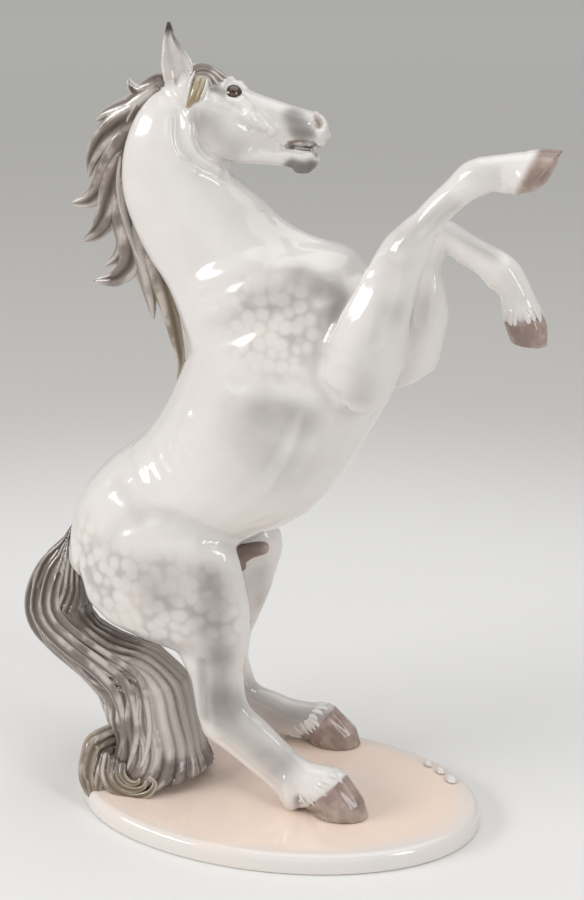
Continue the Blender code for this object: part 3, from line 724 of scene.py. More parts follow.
# Marks near the seam, laid on both the body and the head
CHEEK_STROKES = (
    Stroke(((189, 112), (188, 126), (190, 142), (197, 156), (212, 166), (228, 170)), 3.0, 1.1),
    Stroke(((195, 112), (194, 125), (197, 141), (204, 153), (217, 162), (230, 165)), 2.6, -1.1),
    Stroke(((177, 114), (176, 136), (182, 152), (200, 167), (222, 175)), 3.0, -0.9),
    Stroke(((170, 120), (170, 140), (176, 157), (194, 172)), 2.8, 0.7),
)
# Grey along the cheek's creases: painted shade
CHEEK_TONES = (
    Tone("grey", ((199, 116), (199, 132), (204, 148)), 3.4, 0.3),
    Tone("grey", ((179, 120), (180, 140), (190, 158)), 2.6, 0.22),
)
# Marks on the face, each repeated on its far side
HEAD_STROKES = (
    Stroke(((213, 106), (226, 113), (242, 124), (262, 134)), 2.0, -0.45),
    Stroke(((216, 103), (230, 109), (246, 118)), 1.8, 0.4),
    Stroke(((222, 86), (227, 79), (236, 78), (244, 87)), 2.2, 0.9),
    Stroke(((226, 97), (231, 101), (238, 101), (243, 96)), 1.6, 0.4),
    Stroke(((213, 90), (219, 94), (225, 98)), 3.0, -0.9),
    Stroke(((207, 100), (208, 91), (213, 86)), 1.6, 0.9),
    Stroke(((250, 102), (268, 112), (285, 121)), 3.5, -0.35),
    Stroke(((243, 101), (249, 107), (253, 114), (261, 119), (272, 131)), 3.2, 1.9),
    Stroke(((247, 114), (253, 122), (264, 127)), 2.8, 1.5),
    Stroke(((240, 108), (245, 117), (252, 128)), 2.0, -0.6),
    Stroke(((244, 142), (262, 148), (280, 152)), 5.0, -0.3),
    Stroke(((210, 120), (222, 140), (236, 150)), 9.0, 0.5),
    Stroke(
        ((312, 116), (319, 113), (325, 119), (325, 127), (318, 131), (312, 126), (312, 118)), 1.7, 0.9,
    ),
    Stroke(((317, 118), (320, 122), (319, 127)), 2.2, -2.2),
    Stroke(((322, 133), (327, 138), (320, 143)), 3.0, 1.5),
    Stroke(((284, 142), (296, 139), (312, 140)), 1.9, 0.7),
    Stroke(((284, 152), (296, 155), (314, 154)), 1.9, 0.6),
    Stroke(((281, 140), (278, 147), (282, 155)), 1.9, 0.5),
    Stroke(((288, 146), (300, 148), (312, 149), (321, 150)), 1.5, -2.4),
    Stroke(((300, 160), (308, 161), (314, 158)), 3.4, 0.8),
    Stroke(((298, 168), (306, 168)), 3.4, 0.8),
)
# Grey: painted shade in the hollow behind the eye, in the fold under it and along the face's creases,
# and airbrushed grey on the muzzle, the chin and the cheek. Pink and the brown dab in the nostril are
# its own colours.
HEAD_TONES = (
    Tone("grey", ((212, 87), (218, 90), (224, 92)), 2.4, 0.85),
    Tone("grey", ((222, 100), (232, 105)), 2.6, 0.45),
    Tone("grey", ((292, 115), (294, 123), (297, 131)), 4.8, 0.95),
    Tone("grey", ((300, 117), (304, 125), (307, 132)), 5.2, 0.6),
    Tone("grey", ((296, 131), (304, 133), (312, 135)), 2.6, 0.4),
    Tone("grey", ((292, 165), (303, 168), (311, 166)), 3.8, 0.95),
    Tone("grey", ((294, 166), (303, 170)), 3.0, 0.5),
    Tone("grey", ((209, 124), (217, 138), (228, 149)), 10, 0.55),
    Tone("grey", ((256, 108), (270, 114), (282, 120)), 5.0, 0.3),
    Tone("pink", ((317, 118), (320, 124), (318, 128)), 1.6, 0.7),
    Tone("grey", ((240, 118), (262, 130)), 2.6, 0.25),
    Tone("brown", ((317, 121), (319, 126)), 1.0, 0.7),
    # Brown in the mouth's slit: painted shade
    Tone("brown", ((292, 147.5), (304, 148.5), (319, 150)), 1.6, 1.0),
)


def seam_plane():
    """The plane between the head and the neck, through the head's left, facing the muzzle."""
    low = PHOTO.at_side(SEAM_LOW, POLL.y)
    high = PHOTO.at_side(SEAM_HIGH, POLL.y)
    way = HEAD_LEFT.cross(high - low).normalized()
    return (low + high) / 2, way if way.x > 0 else -way


def ahead_of_seam(points):
    """How far points lie on the head's side: ahead of the seam and above the throat."""
    place, way = seam_plane()
    chin = PHOTO.at_side(THROAT_AHEAD, POLL.y)
    corner = PHOTO.at_side(SEAM_LOW, POLL.y)
    up = HEAD_LEFT.cross(corner - chin).normalized()
    if up.z < 0:
        up.negate()
    ahead = np.minimum((points - place) @ way, (points - corner) @ up)
    ahead[np.linalg.norm(points - place, axis=1) > HEAD_REACH] = -HEAD_REACH
    return ahead


# How far a point goes toward its neighbours' middle in a smoothing pass, and back again
SHRINK_STEP = 0.60
SWELL_STEP = 0.61


def modelled(piece, passes):
    """The smoothed clay, taken back by what its members were swelled."""
    clay = Clay(piece)
    clay.smooth(passes, SHRINK_STEP, SWELL_STEP)
    clay.learn()
    clay.sink(sizes().swell)
    return clay


def sides(clay, pixels, middle, left):
    """The points of a mark on the near side and, where a plane is given, on the far side too."""
    near = clay.lay(pixels)
    return (near, clay.across(near, middle, left)) if left else (near,)


def work(clay, strokes, middle=None, left=None):
    """Presses the strokes into the clay."""
    for stroke in strokes:
        for points in sides(clay, stroke.pixels, middle, left):
            clay.press(points, stroke.radius * MM, stroke.height * MM, stroke.shape)
    clay.learn()


# How much wider a tone spreads than its dab, for airbrushed colour and painted shade alike
TONE_SPREAD = 1.45


def tone(clay, tones, middle=None, left=None):
    """Brushes the tones onto the clay's masks."""
    for dab in tones:
        for points in sides(clay, dab.pixels, middle, left):
            clay.brush(dab.mask, points, dab.radius * TONE_SPREAD * MM, dab.strength)


def rolled(name, around, along, place):
    """A grid rolled into a closed tube, where place turns shares around and along into points.

    It also gives the masks that the tube carries.
    """
    made = flat_grid(name, around, along)
    mesh = made.data
    shares = (rows_of(mesh.vertices, "co", 3)[:, :2] + 1) / 2
    points, masks = place(shares[:, 0], shares[:, 1])
    mesh.vertices.foreach_set("co", points.ravel())
    for mask, values in masks.items():
        laid = mesh.attributes.new(mask, "FLOAT", "POINT")
        laid.data.foreach_set("value", values.astype(np.float32))
    mesh.update()
    weld(made, ROLL_GAP, outward=True)
    return made


def along_path(path, shares):
    """Points and headings of a dense path at shares of its length."""
    steps = np.linalg.norm(np.diff(path, axis=0), axis=1)
    reached = np.concatenate([[0], np.cumsum(steps)]) / steps.sum()
    runs = np.gradient(path, axis=0)
    points = np.stack([np.interp(shares, reached, path[:, k]) for k in range(3)], 1)
    ways = np.stack([np.interp(shares, reached, runs[:, k]) for k in range(3)], 1)
    return points, ways / np.linalg.norm(ways, axis=1)[:, None]


# Rounds of clay laid over the members before they are fused: pixels of the middle, then its distance
# to the left and the radii in millimetres, and the thickness to the side as a share of the radii
Round = namedtuple("Round", "pixels y radii thickness", defaults=(0.85,))
ROUNDS = (
    Round(
        (
            (394, 274), (402, 257), (409, 245), (417, 234), (426, 225), (434, 215), (443, 205),
            (453, 196), (463, 188), (472, 181),
        ),
        -14, (8.6, 9.4, 9.2, 8.3, 7.4, 6.8, 6.5, 6.5, 6.9, 7.2), 1.15,
    ),
    Round(((500, 180), (507, 184), (514, 188)), -14, (4.2, 5.0, 4.2)),
    Round(((283, 778), (288, 790), (291, 804)), -18, (3.6, 4.4, 4.0)),
    Round(((180, 84), (170, 86), (160, 96), (150, 110)), 7, (5.5, 6.2, 6.6, 6.0)),
)
HEAD_ROUNDS = (
    Round(((187, 93), (183, 86), (179, 80)), 2.4, (4.4, 5.0, 3.4)),
    Round(((187, 93), (183, 86), (179, 80)), 14.4, (4.4, 5.0, 3.4)),
)
HOOF_ROUNDS = {
    "right_fore_hoof": Round(
        ((512, 184), (524, 178), (537, 170), (550, 160), (561, 151)),
        -14, (5.2, 6.8, 6.3, 3.8, 0.8), 1.25,
    ),
}
ROUND_SIDES = 32
# The higher, the blunter a round's ends
ROUND_BLUNTNESS = 8


def rounded(name, spec):
    """A closed tube of clay with round ends."""
    path = curve_through([PHOTO.at_side(pixel, spec.y * MM) for pixel in spec.pixels], TUBE_STEPS)
    left = np.array(LEFT)

    def place(u, v):
        middle, way = along_path(path, v)
        across = np.cross(way, left)
        across /= np.linalg.norm(across, axis=1)[:, None]
        cap = np.sqrt(np.maximum(1 - np.abs(2 * v - 1) ** ROUND_BLUNTNESS, 0))
        radius = np.interp(v, np.linspace(0, 1, len(spec.radii)), spec.radii) * MM * cap
        turn = 2 * np.pi * u
        side = across * (np.cos(turn) * radius)[:, None]
        return middle + side + left * (np.sin(turn) * radius * spec.thickness)[:, None], {}

    return rolled(name, ROUND_SIDES, ROUND_SIDES, place)


class HORSE_OT_body(bpy.types.Operator):
    """Model the trunk, the neck and the legs as one glazed skin"""

    bl_idname = "horse.body"
    bl_label = "Body"

    def execute(self, context):
        deselect()
        bpy.ops.mesh.primitive_ico_sphere_add(
            subdivisions=2, radius=VENT_PLUG_RADIUS, location=VENT_PLUG,
        )
        plug = context.object
        settle(plug)
        members = (*BODY_MEMBERS, "head", *HOOVES)
        rounds = [rounded(f"round_{k}", spec) for k, spec in enumerate(ROUNDS)]
        body = fused("body_skin", members, sizes().body_grain, sizes().swell, [plug, *rounds])
        place, way = seam_plane()
        slice_off(
            body, place + way * SEAM_OVERLAP, way,
            lambda point: point.z > THROAT_HEIGHT and (point - place).length < HEAD_REACH,
        )
        for hoof, cannon in HOOVES.items():
            middle, up = ring_between(hoof, cannon)
            slice_off(
                body, middle - up * HOOF_LIP, -up,
                lambda point, middle=middle: (point - middle).length < HOOF_REACH,
            )
        body = regrain(body, sizes().body_grain)
        clay = modelled(body, sizes().smoothing)
        middle = Vector((0, MIDLINE_Y, 0))
        work(clay, TRUNK_STROKES, middle, LEFT)
        tone(clay, TRUNK_TONES, middle, LEFT)
        work(clay, LEG_STROKES)
        tone(clay, LEG_TONES)
        work(clay, CHEEK_STROKES, POLL, HEAD_LEFT)
        tone(clay, CHEEK_TONES, POLL, HEAD_LEFT)
        clay.sink(SEAM_SINK * ramp(ahead_of_seam(clay.co), 0, SEAM_RAMP))
        wear(body, "porcelain_white", porcelain(), *BODY_MEMBERS)
        return {"FINISHED"}


# The head is first smoothed in a coarser grain and then in the fine one
HEAD_GRAIN = 1.0 * MM
HEAD_ROUGH_PASSES = 110
HEAD_FINE_PASSES = 36
MATCH_PASSES = 8
# How near the body's surface has to be to draw the head's edge onto it, in full and at all
MATCH_NEAR = 1.0 * MM
MATCH_FAR = 3.0 * MM


class HORSE_OT_head(bpy.types.Operator):
    """Model the head and the lower jaw"""

    bl_idname = "horse.head"
    bl_label = "Head"

    def execute(self, context):
        rounds = [rounded(f"head_round_{k}", spec) for k, spec in enumerate(HEAD_ROUNDS)]
        head = fused("head_skin", ("head", "lower_jaw", "neck"), HEAD_GRAIN, sizes().swell, rounds)
        place, way = seam_plane()
        slice_off(head, place - way * SEAM_OVERLAP, -way)
        slice_off(head, Vector((0, 0, THROAT_HEIGHT - SEAM_OVERLAP)), -UP)
        head = regrain(head, HEAD_GRAIN)
        rough = Clay(head)
        rough.smooth(HEAD_ROUGH_PASSES, SHRINK_STEP, SWELL_STEP)
        rough.write()
        head = regrain(head, sizes().fine_grain)
        clay = modelled(head, HEAD_FINE_PASSES)
        work(clay, CHEEK_STROKES, POLL, HEAD_LEFT)
        tone(clay, CHEEK_TONES, POLL, HEAD_LEFT)
        self.match(clay, bpy.data.objects["body_skin"])
        clay.smooth(MATCH_PASSES, SHRINK_STEP, SWELL_STEP)
        clay.learn()
        work(clay, HEAD_STROKES, POLL, HEAD_LEFT)
        tone(clay, HEAD_TONES, POLL, HEAD_LEFT)
        clay.sink(SEAM_SINK * ramp(-ahead_of_seam(clay.co), 0, SEAM_RAMP))
        wear(head, "porcelain_white", porcelain(), "head", "lower_jaw")
        return {"FINISHED"}

    def match(self, clay, body):
        """Draws the head's edge onto the body's surface, so that the seam doesn't show."""
        surface = surface_of(body)
        ahead = ahead_of_seam(clay.co)
        for i in np.flatnonzero((ahead < SEAM_MATCH) & (ahead > -SEAM_RAMP)):
            found, _, _, gap = surface.find_nearest(Vector(clay.co[i]))
            share = (1 - ramp(ahead[i], 0, SEAM_MATCH)) * (1 - ramp(gap, MATCH_NEAR, MATCH_FAR))
            clay.co[i] += (np.array(found) - clay.co[i]) * share


# How far below its upper edge a hoof's brown is full
HOOF_FADE = 1.2 * MM
# The raised near hoof has clay of its own and is airbrushed: its top sinks deeper under the skin, its
# wall stands proud, its edge and sole are less pale, and its brown fades over a longer way
AIRBRUSHED_SINK = 1.6
AIRBRUSHED_RISE = 0.35
AIRBRUSHED_PALE = 0.3
AIRBRUSHED_FADE = 3.8 * MM
# How many hairs a fringe has, how far each strays as a share of the gap, and how far off it is looked
# for round the hoof
FRINGE_HAIRS = 20
FRINGE_STRAY = 0.4
FRINGE_REACH = 15 * MM
# A hair's root and bend, as heights over the hoof's edge and depths under the surface, in millimetres
FRINGE_ROOT = (6.5, 1.1)
FRINGE_BEND = (2.4, 0.35)
FRINGE_TIP_DEPTH = 0.3
# The least that its tip hangs below the edge, its least width, the most that is added to each, and its
# thickness, in millimetres
FRINGE_DROP = 0.8
FRINGE_DROP_MORE = 3.6
FRINGE_WIDTH = 3.4
FRINGE_WIDTH_MORE = 2.2
FRINGE_THICKNESS = 1.4


class HORSE_OT_hooves(bpy.types.Operator):
    """Model the four hooves, whose tops slip under the skin's lip"""

    bl_idname = "horse.hooves"
    bl_label = "Hooves"

    def execute(self, context):
        look = hoof_brown()
        for hoof, cannon in HOOVES.items():
            middle, up = ring_between(hoof, cannon)
            airbrushed = hoof in HOOF_ROUNDS
            more = [rounded(hoof + "_round", HOOF_ROUNDS[hoof])] if airbrushed else []
            piece = fused(hoof + "_wall", (hoof, cannon), sizes().fine_grain, sizes().swell, more)
            slice_off(piece, middle + up * HOOF_STUB, up)
            piece = regrain(piece, sizes().fine_grain)
            clay = modelled(piece, sizes().smoothing // 2)
            above = (clay.co - middle) @ up
            if airbrushed:
                sink = AIRBRUSHED_SINK * ramp(above, HOOF_LIP, HOOF_STUB) - AIRBRUSHED_RISE
            else:
                sink = ramp(above, -2 * HOOF_LIP, 0)
            pale = AIRBRUSHED_PALE if airbrushed else 1.0
            fade = AIRBRUSHED_FADE if airbrushed else HOOF_FADE
            clay.masks["down"] = pale * np.clip(above / above.min(), 0, 1)
            clay.masks["sole"] = pale * ramp(-(clay.normals @ up), 0.75, 0.95)
            clay.masks["white"] = ramp(above, -fade, 0)
            clay.sink(HOOF_SINK * sink)
            wear(piece, "hoof_brown", look, hoof)
            if not airbrushed:
                hairs = self.fringe(hoof, clay.tree, middle, up)
                wear(joined(hoof + "_fringe", hairs), "porcelain_white", porcelain())
        return {"FINISHED"}

    def fringe(self, hoof, wall, middle, up):
        """Short hairs that hang from the skin over the hoof's upper edge."""
        body = surface_of(bpy.data.objects["body_skin"])
        rng = np.random.default_rng(len(hoof))
        side = up.orthogonal().normalized()
        made = []
        for k in range(FRINGE_HAIRS):
            turn = 2 * math.pi * (k + FRINGE_STRAY * rng.random()) / FRINGE_HAIRS
            out = Matrix.Rotation(turn, 3, up) @ side
            path = []
            tip = (-FRINGE_DROP - FRINGE_DROP_MORE * rng.random() ** 2, FRINGE_TIP_DEPTH)
            for tree, (rise, depth) in ((body, FRINGE_ROOT), (body, FRINGE_BEND), (wall, tip)):
                start = middle + up * rise * MM + out * FRINGE_REACH
                hit = tree.ray_cast(start, -out, FRINGE_REACH)[0]
                if hit:
                    path.append(hit - out * depth * MM)
            if len(path) < 3:
                continue
            width = (FRINGE_WIDTH + FRINGE_WIDTH_MORE * rng.random()) * MM
            made.append(
                strand(
                    f"{hoof}_hair_{k}", path, width, FRINGE_THICKNESS * MM, 1, out, start=0.45,
                    groove=0.1, blunt=0.8, around=12, along=10,
                )
            )
        return made


# Rounds that the sheath is made of
SHEATH = (
    Round(
        ((229, 556), (240, 554), (252, 550), (262, 548), (270, 547)), 10, (5.4, 5.2, 4.2, 3.7, 3.3),
    ),
    Round(((232, 553), (238, 562), (243, 572)), 9, (5.0, 4.4, 2.4)),
)


class HORSE_OT_sheath(bpy.types.Operator):
    """Model the sheath between the thighs"""

    bl_idname = "horse.sheath"
    bl_label = "Sheath"

    def execute(self, context):
        lumps = [rounded(f"sheath_{k}", spec) for k, spec in enumerate(SHEATH)]
        piece = regrain(joined("sheath_skin", lumps), sizes().fine_grain)
        clay = modelled(piece, sizes().smoothing // 8)
        low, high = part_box("sheath")
        clay.masks["tip"] = ramp(clay.co[:, 0], (low.x + 2 * high.x) / 3, high.x)
        clay.write()
        wear(piece, "skin_grey", sheath_skin(), "sheath")
        return {"FINISHED"}


def porcelain():
    """White body, the dapples' grey-brown net, and the grey, pink and brown of the masks. The grey is
    airbrushed grey together with painted shade in hollows, folds, grooves and under the belly, and the
    brown is painted shade in the mouth's slit besides a hoof's own colour.
    """
    made = bpy.data.materials.get("porcelain_glaze")
    if made:
        return made
    tones = colours()
    glaze = Glaze("porcelain_glaze", roughness=0.14, coat=0.5)
    grain = glaze.noise(34 * MM, 3.0)
    cell = glaze.node(
        "ShaderNodeTexVoronoi", {"feature": "SMOOTH_F1"},
        {"Vector": glaze.place, "Scale": 1 / sizes().dapple, "Smoothness": 0.35, "Randomness": 0.85},
    )
    net = cell.between(0.34, 0.78)
    dapple = glaze.mask("dapple")
    grey = glaze.mask("grey")
    warm = glaze.noise(21 * MM)
    net_tone = warm.between(0.42, 0.60).tint(tones.net, tones.blush)
    body = (grain.between(0.35, 0.75) * 0.06).tint(tones.porcelain, tones.shadow)
    dappled = (dapple * (0.12 + net * 0.54)).tint(body, net_tone)
    cloud = grey * (0.21 + grain * 1.1)
    # The grey mask: airbrushed grey together with painted shade
    sprayed_and_shaded = cloud.between(0.0, 1.0).tint(dappled, tones.shadow)
    pink = glaze.mask("pink").tint(sprayed_and_shaded, tones.pale_hoof)
    brown = glaze.mask("brown").tint(pink, tones.hoof)
    wave = glaze.noise(9 * MM, 1.0)
    return glaze.paint(brown, 0.10 + grain * 0.08, wave, 0.05 * MM)


def hoof_brown():
    """Clouded brown, pale at the lower edge and the sole, that fades to white at the skin."""
    tones = colours()
    glaze = Glaze("hoof_glaze", roughness=0.2, coat=0.4)
    down = glaze.mask("down")
    cloud = glaze.noise(7 * MM, 3.0)
    lines = glaze.noise(3 * MM)
    wall = (cloud.between(0.35, 0.7) * 0.5 + lines * 0.2).tint(tones.hoof, tones.pale_hoof)
    edge = (down.between(0.75, 1.0) * cloud.between(0.2, 0.6) * 0.7).tint(wall, tones.pale_hoof)
    sole = (glaze.mask("sole") * 0.8).tint(edge, tones.pale_hoof)
    faded = glaze.mask("white").tint(sole, tones.porcelain)
    return glaze.paint(faded, 0.16 + cloud * 0.12, lines, 0.05 * MM)


def sheath_skin():
    """Mottled taupe and brown, pale at the tip."""
    tones = colours()
    glaze = Glaze("sheath_glaze", roughness=0.2, coat=0.4)
    mottle = glaze.noise(6 * MM, 3.0)
    skin = mottle.between(0.3, 0.7).tint(tones.hair, tones.hoof)
    return glaze.paint((glaze.mask("tip") * 0.8).tint(skin, tones.pale_hoof), 0.16 + mottle * 0.1)


STRAND_AROUND = 30
STRAND_ALONG = 34
# The share of its length at which a strand is widest, and the power of the way by which it then thins
STRAND_FULL = 0.35
STRAND_TAPER = 2.2
# The lower, the broader its ridges beside their grooves, and the higher, the narrower its pale edges
RIDGE_POWER = 0.7
EDGE_POWER = 6
# How golden a golden strand is between its edges
GOLD_MIDDLE = 0.4


def strand(
    name, path, width, depth, ridges, face, twist=0.25, start=0.75, blunt=0.55, groove=0.26, gold=0.0,
    pale=0.0, around=STRAND_AROUND, along=STRAND_ALONG,
):
    """A lock's strand on a path: flat across face, ridged, and thinning from its middle to its tip."""
    path = curve_through(path, STRAND_STEPS)
    face = np.array(face, float)

    def place(u, v):
        middle, way = along_path(path, v)
        across = np.cross(way, face)
        across /= np.linalg.norm(across, axis=1)[:, None]
        out = np.cross(across, way)
        swell = start + (1 - start) * ramp(v, 0, STRAND_FULL)
        swell = swell * np.maximum(1 - v ** STRAND_TAPER, 0) ** blunt
        swell[v <= 0] = 0
        turn = 2 * np.pi * u
        phase = ridges * turn / 2 + 2 * np.pi * twist * v
        dip = 1 - np.abs(np.cos(phase)) ** RIDGE_POWER
        round_the = 1 - groove * dip
        points = (
            middle
            + across * (np.cos(turn) * width / 2 * swell * round_the)[:, None]
            + out * (np.sin(turn) * depth / 2 * swell * round_the)[:, None]
        )
        # The hair's glaze paints the grooves dark, partly as painted shade, and the edges pale, partly
        # as painted highlight
        edge = np.abs(np.cos(turn)) ** EDGE_POWER
        golden = gold * ramp(v, -0.1, 0.5) * (GOLD_MIDDLE + (1 - GOLD_MIDDLE) * edge)
        return points, {"groove": dip, "tip": np.maximum(v, pale), "edge": edge, "gold": golden}

    return rolled(name, around, along, place)


def hair():
    """The hair's glaze: dark in grooves, partly painted shade, pale on ridges and edges, partly painted
    highlight, and golden where its mask says.
    """
    made = bpy.data.materials.get("hair_glaze")
    if made:
        return made
    tones = colours()
    glaze = Glaze("hair_glaze", roughness=0.16, coat=0.5)
    cloud = glaze.noise(12 * MM, 3.0)
    fine = glaze.noise(2.2 * MM)
    groove = glaze.mask("groove")
    tip = glaze.mask("tip")
    # Darker in the grooves, partly painted shade
    ridge = (groove.between(0.15, 0.75) * 0.9).tint(tones.hair, tones.groove)
    # Pale on the ridges' crests and, below, on the edges: thinned glaze together with painted highlight
    thinned_and_highlit = (1 - groove).between(0.7, 1.0) * cloud.between(0.40, 0.62) * 0.85
    pale = thinned_and_highlit.tint(ridge, tones.pale_hair)
    rim = (glaze.mask("edge") * 0.75).tint(pale, tones.pale_hair)
    ended = (tip.between(0.80, 1.0) * (0.8 - groove * 0.5)).tint(rim, tones.pale_hair)
    gold = (glaze.mask("gold") * (0.65 + groove * 0.3)).tint(ended, tones.gold)
    return glaze.paint(gold, 0.12 + cloud * 0.10, fine, 0.04 * MM)


# The mane's locks from the poll down: their middles in pixels, each starting along the crest, then
# width and depth in millimetres, ridges, and how golden and how pale they are
ManeLock = namedtuple("ManeLock", "pixels width depth ridges gold pale", defaults=(0.0, 0.0))
MANE_LOCKS = (
    ManeLock(((166, 80), (158, 82), (150, 87), (141, 91), (133, 87), (128, 78)), 9.5, 8, 3),
    ManeLock(((160, 84), (148, 95), (133, 107), (118, 112), (105, 116), (95, 121)), 13, 9, 4),
    ManeLock(((153, 94), (137, 112), (119, 126), (104, 142), (94, 160), (88, 178)), 17, 10, 5),
    ManeLock(((140, 114), (127, 136), (114, 160), (104, 183), (90, 199), (70, 204)), 17, 10, 5),
    ManeLock(((129, 138), (120, 166), (113, 192), (108, 213), (98, 231), (81, 242)), 16, 10, 5),
    ManeLock(((124, 164), (120, 192), (120, 217), (124, 239), (119, 255), (104, 267)), 12, 9, 4),
    ManeLock(((124, 194), (128, 220), (132, 246), (129, 266), (115, 279), (93, 281)), 15, 9, 4),
    ManeLock(((127, 212), (136, 242), (144, 270), (150, 297), (154, 320)), 11, 8, 3, 0.2, 0.9),
    ManeLock(((137, 236), (153, 270), (166, 302), (176, 337), (181, 362), (177, 380)), 9.5, 7, 3, 0.8),
)
# Wisps that lie along the crest
CREST_WISPS = (
    ManeLock(((163, 82), (149, 94), (134, 116), (126, 140), (121, 166), (121, 196)), 8, 9.5, 5),
    ManeLock(
        ((124, 176), (125, 205), (132, 232), (143, 260), (156, 284), (168, 297)), 7, 10, 4, 0.0, 0.92,
    ),
    ManeLock(((122, 150), (120, 180), (124, 212), (134, 236), (149, 262)), 5, 10.5, 3, 0.0, 0.95),
)
CREST_Y = 4.5 * MM
# The way that a strand's flat side faces on the near side of the horse
FACE_NEAR = (0.1, -1.0, 0.1)
# Turns of the ridges along a wisp, and along the locks with even and odd numbers
WISP_TWIST = 0.18
LOCK_TWISTS = (0.1, 0.4)


def lock_of(name, spec, twist):
    """A broad lock whose ridges run together to its tip."""
    path = [PHOTO.at_side(pixel, CREST_Y) for pixel in spec.pixels]
    return strand(
        name, path, spec.width * MM, spec.depth * MM, spec.ridges, FACE_NEAR, twist=twist, blunt=0.7,
        gold=spec.gold, pale=spec.pale,
    )


class HORSE_OT_mane(bpy.types.Operator):
    """Model the mane's locks, which cover its crest"""

    bl_idname = "horse.mane"
    bl_label = "Mane"

    def execute(self, context):
        look = hair()
        for number, spec in enumerate(MANE_LOCKS, start=1):
            piece = lock_of(f"mane_lock_{number}_hair", spec, LOCK_TWISTS[number % 2])
            wear(piece, "hair_grey", look, f"mane_lock_{number}")
        wisps = [lock_of(f"wisp_{k}", spec, WISP_TWIST) for k, spec in enumerate(CREST_WISPS)]
        wear(joined("mane_crest_hair", wisps), "hair_grey", look, "mane_crest")
        return {"FINISHED"}


# The tail's two edges in pixels from the dock to the foot, and its middle's distance to the left
TAIL_OUTER = (
    (78, 522), (60, 540), (40, 562), (31, 600), (35, 622), (55, 646), (85, 671), (104, 693), (114, 715),
    (117, 737), (111, 758), (103, 780), (103, 795),
)
TAIL_INNER = (
    (102, 545), (96, 565), (86, 590), (86, 612), (104, 626), (128, 636), (158, 648), (186, 657),
    (190, 688), (194, 714), (197, 738), (190, 762), (170, 786),
)
TAIL_Y = (10.0, 10.0, 9.5, 9.0, 8.0, 7.0, 5.0, 3.0, 1.0, 0.0, -1.0, -1.0, -1.0)
# Shares of the way from the outer edge to the inner one at which raised strands lie on the tail
TAIL_STRANDS = (0.10, 0.26, 0.42)
# Their width at the outer edge, what it loses by the inner one, and their depth as a share of it
TAIL_STRAND_WIDTH = 7.0
TAIL_STRAND_LOSS = 0.5
TAIL_STRAND_DEPTH = 0.45
TAIL_GRAIN = 0.6 * MM
# The ribbon of hair down the tail's outer edge: marks, and its width and depth
RIBBON = (
    (62, 542, 11.5), (42, 566, 11.0), (32, 598, 10.5), (36, 624, 10.0), (56, 648, 9.0), (78, 668, 7.5),
    (96, 686, 6.0), (108, 704, 4.5), (115, 724, 3.5),
)
RIBBON_WIDTH = 8 * MM
RIBBON_DEPTH = 5 * MM
# The comb's broad and fine ridges: how many, their grooves' depth in millimetres, how far they wave
# and their seeds, and how far the ridges stand out of the solid
TAIL_RIDGES = 24
TAIL_GROOVE = 1.3
TAIL_WAVE = 0.5
TAIL_SEED = 3
TAIL_FINE_RIDGES = 67
TAIL_FINE_GROOVE = 0.22
TAIL_FINE_WAVE = 1.2
TAIL_FINE_SEED = 5
TAIL_PROUD = 0.35
# The lower, the broader the combed ridges beside their grooves
COMB_POWER = 0.75
# Places along the tail at which its reach is read, and how many are evened out together
COMB_BINS = 36
COMB_BLUR = 5
# A wave starts anywhere in its turn
ANY_START = 6.28
# Strands of the locks at the tail's foot: width and depth in millimetres, then their marks
TAIL_LOCKS = {
    "tail_side_lock": (
        (9, 6, (118, 728, -8), (104, 735, -14), (92, 745, -20), (87, 768, -24), (91, 791, -26),
         (96, 805, -27)),
        (8, 6, (116, 738, -10), (100, 746, -17), (88, 756, -22), (84, 775, -25), (87, 789, -27),
         (91, 799, -27)),
        (7, 5, (112, 748, -12), (104, 760, -19), (99, 778, -24), (98, 791, -26), (97, 800, -27)),
    ),
    "tail_tip_lock": (
        (6, 4, (106, 752, -21), (104, 772, -24), (112, 788, -26), (130, 797, -27), (148, 794, -27),
         (155, 784, -27), (149, 776, -28)),
        (5, 4, (114, 758, -21), (113, 775, -24), (121, 786, -26), (134, 790, -27), (144, 787, -27),
         (146, 780, -28)),
        (4.5, 3.5, (122, 762, -21), (122, 774, -24), (129, 782, -26), (137, 783, -27), (140, 778, -27)),
    ),
}


class Comb:
    """Coordinates of clay round a path: a share along it and a turn round it."""

    def __init__(self, clay, path):
        _, offset, run, self.share = nearest_on(clay.co, curve_through(path, TUBE_STEPS))
        side = np.cross(run, np.array(LEFT))
        side /= np.linalg.norm(side, axis=1)[:, None]
        across = self.evened(np.einsum("ij,ij->i", offset, side))
        out = self.evened(offset[:, 1])
        self.turn = np.arctan2(out, across)

    def evened(self, values):
        """The values as shares of their reach at each place along the path."""
        bins = np.minimum((self.share * COMB_BINS).astype(int), COMB_BINS - 1)
        place = (np.arange(COMB_BINS) + 0.5) / COMB_BINS
        ends = []
        for end in (np.min, np.max):
            reach = [end(values[bins == k]) if (bins == k).any() else 0 for k in range(COMB_BINS)]
            wide = np.pad(reach, COMB_BLUR // 2, "edge")
            blurred = np.convolve(wide, np.ones(COMB_BLUR) / COMB_BLUR, "valid")
            ends.append(np.interp(self.share, place, blurred))
        low, high = ends
        return (values - (low + high) / 2) / np.maximum((high - low) / 2, 1e-6)

    def ridges(self, count, wave, seed):
        """How deep each point lies between ridges that wave and vary: 0 on a crest, 1 at most."""
        rng = np.random.default_rng(seed)
        a, b, c = rng.random(3) * ANY_START
        drift = wave * (np.sin(7 * self.share + 2 * self.turn + a) + 0.6 * np.sin(15 * self.share + b))
        phase = count * self.turn / 2 + drift
        dip = 1 - np.abs(np.cos(phase)) ** COMB_POWER
        vary = 0.65 + 0.35 * np.sin(5 * self.turn + 9 * self.share + c)
        return dip * vary


